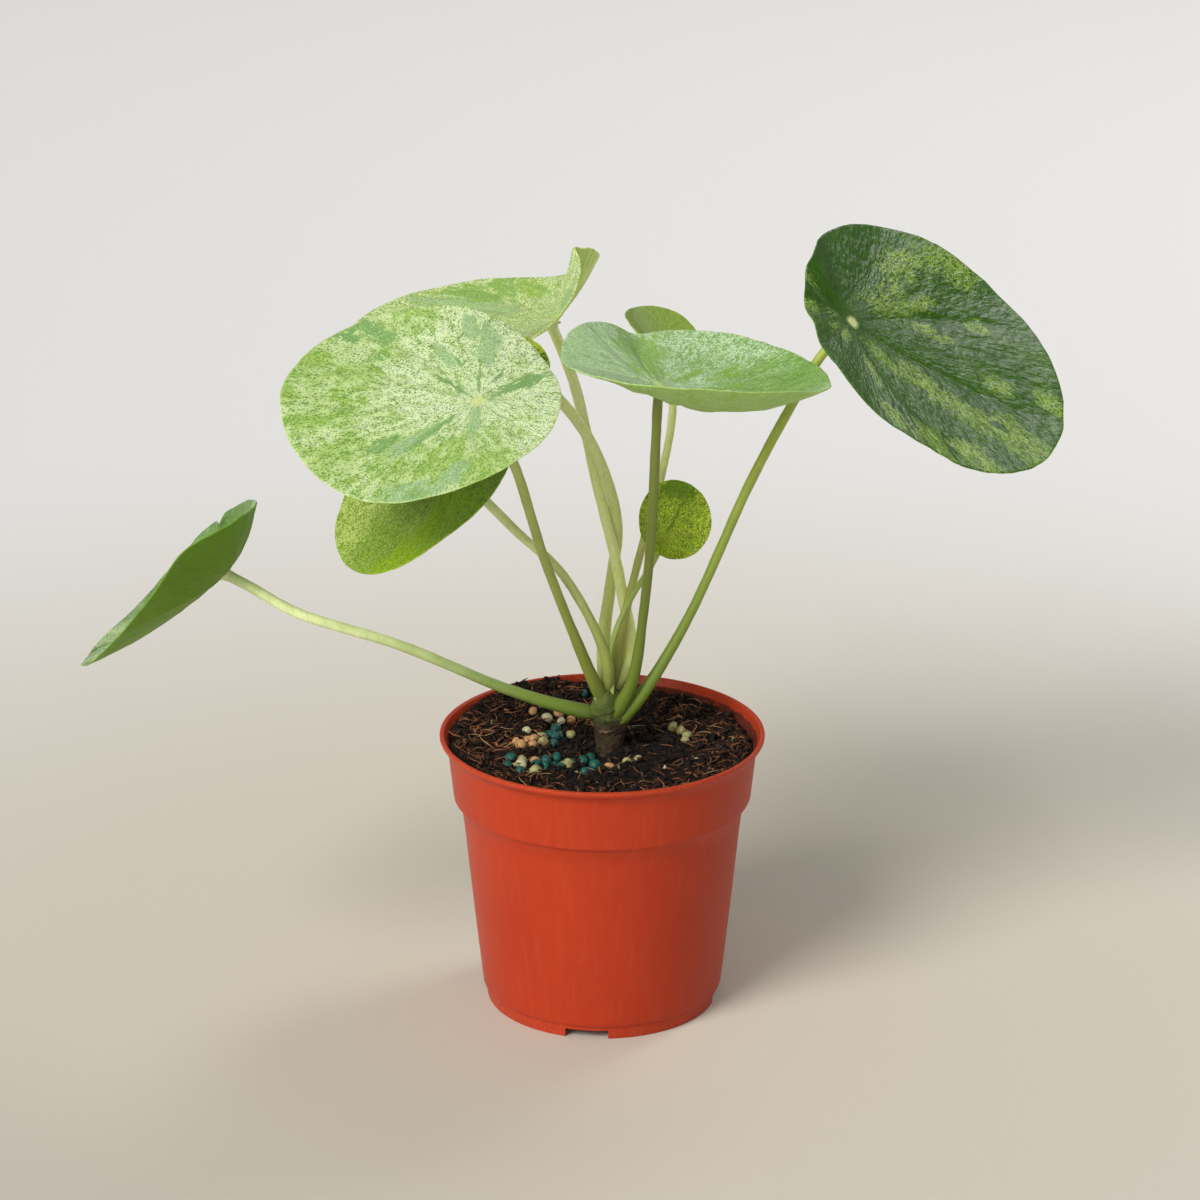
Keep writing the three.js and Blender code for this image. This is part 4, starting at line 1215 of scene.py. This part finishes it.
def makeStalkSkin(name, leaf):
    material, tree, shader, place, tone = startSkin(
        name, 6, 0.7, leaf["seed"], Subsurface_Weight=0.5, Subsurface_Scale=0.0022,
        Subsurface_Radius=(0.8, 1.0, 0.3), Specular_IOR_Level=0.42)
    # fine darker strokes drawn out up the stalk, and a browner foot
    strokes = noiseField(mapped(place, Scale=(1, 1, 0.18)), 1500.0, 2.0, 0.6)
    down = attribute(tree, "fromFoot") * -1.0
    colour = layered(
        leaf["stalkTone"], (fade(attribute(tree, "along"), 0.1, 0.8), leaf["stalkTip"]),
        (tone["Tone"] * 0.3, leaf["stalkTone"]), (fade(strokes, 0.5, 0.7) * 0.16, stem["green"]),
        (fade(down, -14.0, -4.0) * 0.5, stem["green"]), (fade(down, -6.0, 0.0) * 0.4, stem["bark"]))
    feedAll(shader, {"Base Color": colour, "Roughness": 0.36 + tone["Grain"] * 0.16})
    addBump(shader, strokes + tone["Grain"] * 0.5, 0.12 * mm)
    return material


def buildStalk(name, leaf, sweep):
    line, length = stalkLine(leaf, stalkSet["rings"])
    end = (line[-1] - line[-3]) / np.linalg.norm(line[-1] - line[-3])
    past = stalkSet["past"]
    line = np.concatenate([line, [line[-1] + end * (past / 2), line[-1] + end * past]])
    length = np.concatenate([length, [length[-1] + past / 2, length[-1] + past]])
    mesh = bpy.data.meshes.new("stalk")
    mesh.from_pydata([tuple(p) for p in toFrame(line)], [(k, k + 1) for k in range(len(line) - 1)], [])
    for label, values in (("along", length / length[-1]), ("fromFoot", length),
                          ("toBlade", np.maximum(length[-3] - length, 0))):
        putAttribute(mesh, label, values)
    piece = newObject("leafStalk_" + name, mesh)
    thick = leaf["thick"] * mm
    grow(piece, sweep, {"Base Radius": stalkSet["base"] * thick, "Tip Radius": stalkSet["tip"] * thick,
                        "Taper Share": stalkSet["taper"], "Swell": leaf["swell"], "Flare": stalkSet["flare"],
                        "Sides": stalkSet["sides"], "Material": makeStalkSkin("stalkSkin_" + name, leaf)})
    # the end is cut slantwise where it meets the blade, inside the blade's thickness
    facing = Vector(bearing(*leaf["faces"]))
    navel, end = Vector(toFrame(leaf["at"])), Vector(end)
    for vert in piece.data.vertices:
        over = (vert.co - navel).dot(facing) + stalkSet["inset"] * mm
        if over > 0 and (vert.co - navel).length < stalkSet["nearNavel"] * mm:
            vert.co -= end * (over / max(end.dot(facing), 0.25))
    smooth(piece.data, 60)
    finishPiece(piece, "stalk", "stalk_" + name)


def makeStemBark():
    material, tree, shader, place, tone = startSkin("stemBark", 4, 0.6, 3.0, Roughness=0.7, Specular_IOR_Level=0.3)
    height = addNode(tree, "ShaderNodeSeparateXYZ", {0: place})[2]
    cracks = noiseField(mapped(place, Scale=(1, 1, 0.4)), 900.0, 3.0, 0.65)
    colour = layered(
        stem["bark"], (tone["Tone"], stem["brown"]), (fade(height, 90.5 * mm, 98.5 * mm) * 0.85, stem["green"]),
        (attribute(tree, "scar") * 0.75, stem["scarTone"]), (fade(cracks, 0.55, 0.7) * 0.5, soil["dark"]))
    feed(shader.inputs["Base Color"], colour)
    addBump(shader, cracks + tone["Grain"], 0.5 * mm)
    return material


def buildStem():
    # a short rough trunk with scars where old leaves left it
    spokes, rings, tall = stem["spokes"], stem["rings"], stem["top"] - stem["foot"]
    turn, t = np.meshgrid(np.linspace(0, 2 * math.pi, spokes, endpoint=False), np.linspace(0, 1, rings))
    rounding = np.where(t > 0.82, np.sqrt(np.clip(1 - ((t - 0.82) / 0.18) ** 2 * 0.88, 0, 1)), 1)
    scar, lip = np.zeros_like(t), np.zeros_like(t)
    for height, direction, wide, deep in stem["scars"]:
        side = apart(turn, math.radians(direction))
        droop = 0.35 * (side * 4.2 / wide) ** 2  # each scar hangs like a smile
        torn = 0.8 * np.sin(9 * turn) * np.sin(4 * turn + 1)
        oval = np.sqrt((side * 4.2 / wide) ** 2 + ((t - height) * tall / deep - droop + torn) ** 2)
        scar = np.maximum(scar, np.clip(1.3 - oval, 0, 1))
        lip = np.maximum(lip, np.exp(-((oval - 1.1) / 0.35) ** 2))
    rise = np.clip((t - 0.56) / 0.26, 0, 1)
    radius = stem["radius"] + (stem["crown"] - stem["radius"]) * rise ** 2 * (3 - 2 * rise)
    for leaf in leaves.values():  # a sheath below each stalk
        (x, y, z), (nextX, nextY, _) = leaf["stalk"][:2]
        side = apart(turn, math.atan2(nextY - y, nextX - x))
        below = (t - 0.03) * tall + stem["foot"] - z
        radius = radius + stem["sheath"] * np.exp(-(side / 0.42) ** 2 - (below / 3.6) ** 2)
    radius = (radius + 0.3 * lip - 0.2 * scar) * rounding
    ring = np.stack([np.cos(turn) * 4, np.sin(turn) * 4, t * tall], -1)
    for size, depth, seed in stem["rough"]:
        radius = radius + depth * softNoise(ring, size, seed)
    x = stem["x"] + 0.6 * (1 - t) + radius * np.cos(turn)
    y = stem["y"] + radius * np.sin(turn)
    ends = [[stem["x"] + 0.6, stem["y"], stem["foot"]], [stem["x"], stem["y"], stem["top"] + 0.3]]
    points = np.concatenate([np.stack([x, y, stem["foot"] + tall * t], -1).reshape(-1, 3), ends])
    starts = [i * spokes for i in range(rings)]
    faces = fan(len(points) - 2, 0, spokes, True) + fan(len(points) - 1, starts[-1], spokes)
    for lower, upper in zip(starts, starts[1:]):
        faces += belt(lower, upper, spokes, True)
    mesh = meshFrom("stemTrunk", toFrame(points), faces)
    smooth(mesh)
    putAttribute(mesh, "scar", np.concatenate([scar.ravel(), [0, 0]]))
    finishMesh(mesh, makeStemBark(), "stem_bark", "stem")


def buildStipules():
    # thin pale scales that stand at the crown between the stalks
    work = bmesh.new()
    for x, y, z, heading, lean, length, half in stem["stipules"]:
        along, out = Vector(bearing(heading, lean)), Vector(bearing(heading, lean - 90))
        side, foot = along.cross(out), Vector((x, y, z))
        for vert in bmesh.ops.create_uvsphere(work, u_segments=20, v_segments=24, radius=1)["verts"]:
            share = (vert.co.z + 1) / 2
            wide = half * (1 - 0.55 * share)
            bend = 1.6 * share ** 2 - 0.3 * (vert.co.x ** 2)
            place = foot + along * (length * share) + side * (vert.co.x * wide)
            vert.co = (place + out * (vert.co.y * 0.22 - bend * 0.5)) * mm + potAxis
    bmesh.ops.recalc_face_normals(work, faces=work.faces)
    mesh = meshOf("crownStipules", work)
    smooth(mesh)
    for name, value in (("along", 0.9), ("fromFoot", 30.0)):
        putAttribute(mesh, name, np.full(len(mesh.vertices), value))
    finishMesh(mesh, makeStalkSkin("stipuleSkin", stem), "stalk")


buildStem()
buildStipules()
sweep = makeStalkTree()
for name, own in leaves.items():
    leaf = {**grown, **own}
    buildStalk(name, leaf, sweep)
    blade = bladeMesh("leafBlade_" + name, leaf)
    finishMesh(blade, makeBladeSkin("bladeSkin_" + name, leaf), leaf["slot"], "blade_" + name)
    print("leaf grown:", name, len(blade.polygons), "faces")

# a floor sheet, a pale sky, a broad key and a low weak fill from the front left, and a wide soft panel at the back
studio = {
    "floor": (208, 200, 183), "farFloor": (229, 227, 223), "floorFade": (0.14, 0.62), "sky": (238, 238, 240),
    "skyStrength": 0.31, "middle": 0.13,
    "suns": (("key", (-0.8, -0.95, 1.15), 2.38, 27), ("fill", (-0.6, -1.0, 0.3), 1.1, 60)),
    "backAt": (1.36, 1.14, 1.78), "backSize": 0.8, "backPower": 14}


def buildStudio():
    material, _, shader, place, tone = startSkin("floorPaper", 400, 3, 0.0, Roughness=0.85)
    far = fade(vectorCalc("LENGTH", place)["Value"], *studio["floorFade"])
    colour = layered(studio["floor"], (far, studio["farFloor"]), (tone["Grain"] * 0.05, studio["sky"]))
    feed(shader.inputs["Base Color"], colour)
    floor = newObject("floor", meshFrom("floor", *lathe([(8, 0), (0, 0)], 64)))
    floor.data.materials.append(material)
    world = bpy.data.worlds.new("studio")
    world.use_nodes = True
    feedAll(world.node_tree.nodes["Background"], {"Color": studio["sky"], "Strength": studio["skyStrength"]})
    bpy.context.scene.world = world
    lamps = []
    for lampName, place, strength, softness in studio["suns"]:
        sun = bpy.data.lights.new(lampName, "SUN")
        sun.energy = strength
        sun.angle = math.radians(softness)
        lamps.append((sun, place))
    back = bpy.data.lights.new("backPanel", "AREA")
    back.shape = "DISK"
    back.size = studio["backSize"]
    back.energy = studio["backPower"]
    for data, place in (*lamps, (back, studio["backAt"])):
        lamp = newObject(data.name, data)
        lamp.location = place
        toward = potAxis + Vector((0, 0, studio["middle"])) - Vector(place)
        lamp.rotation_euler = toward.to_track_quat("-Z", "Y").to_euler()
    bpy.context.scene.view_settings.view_transform = "Standard"


buildStudio()
print("studio set")
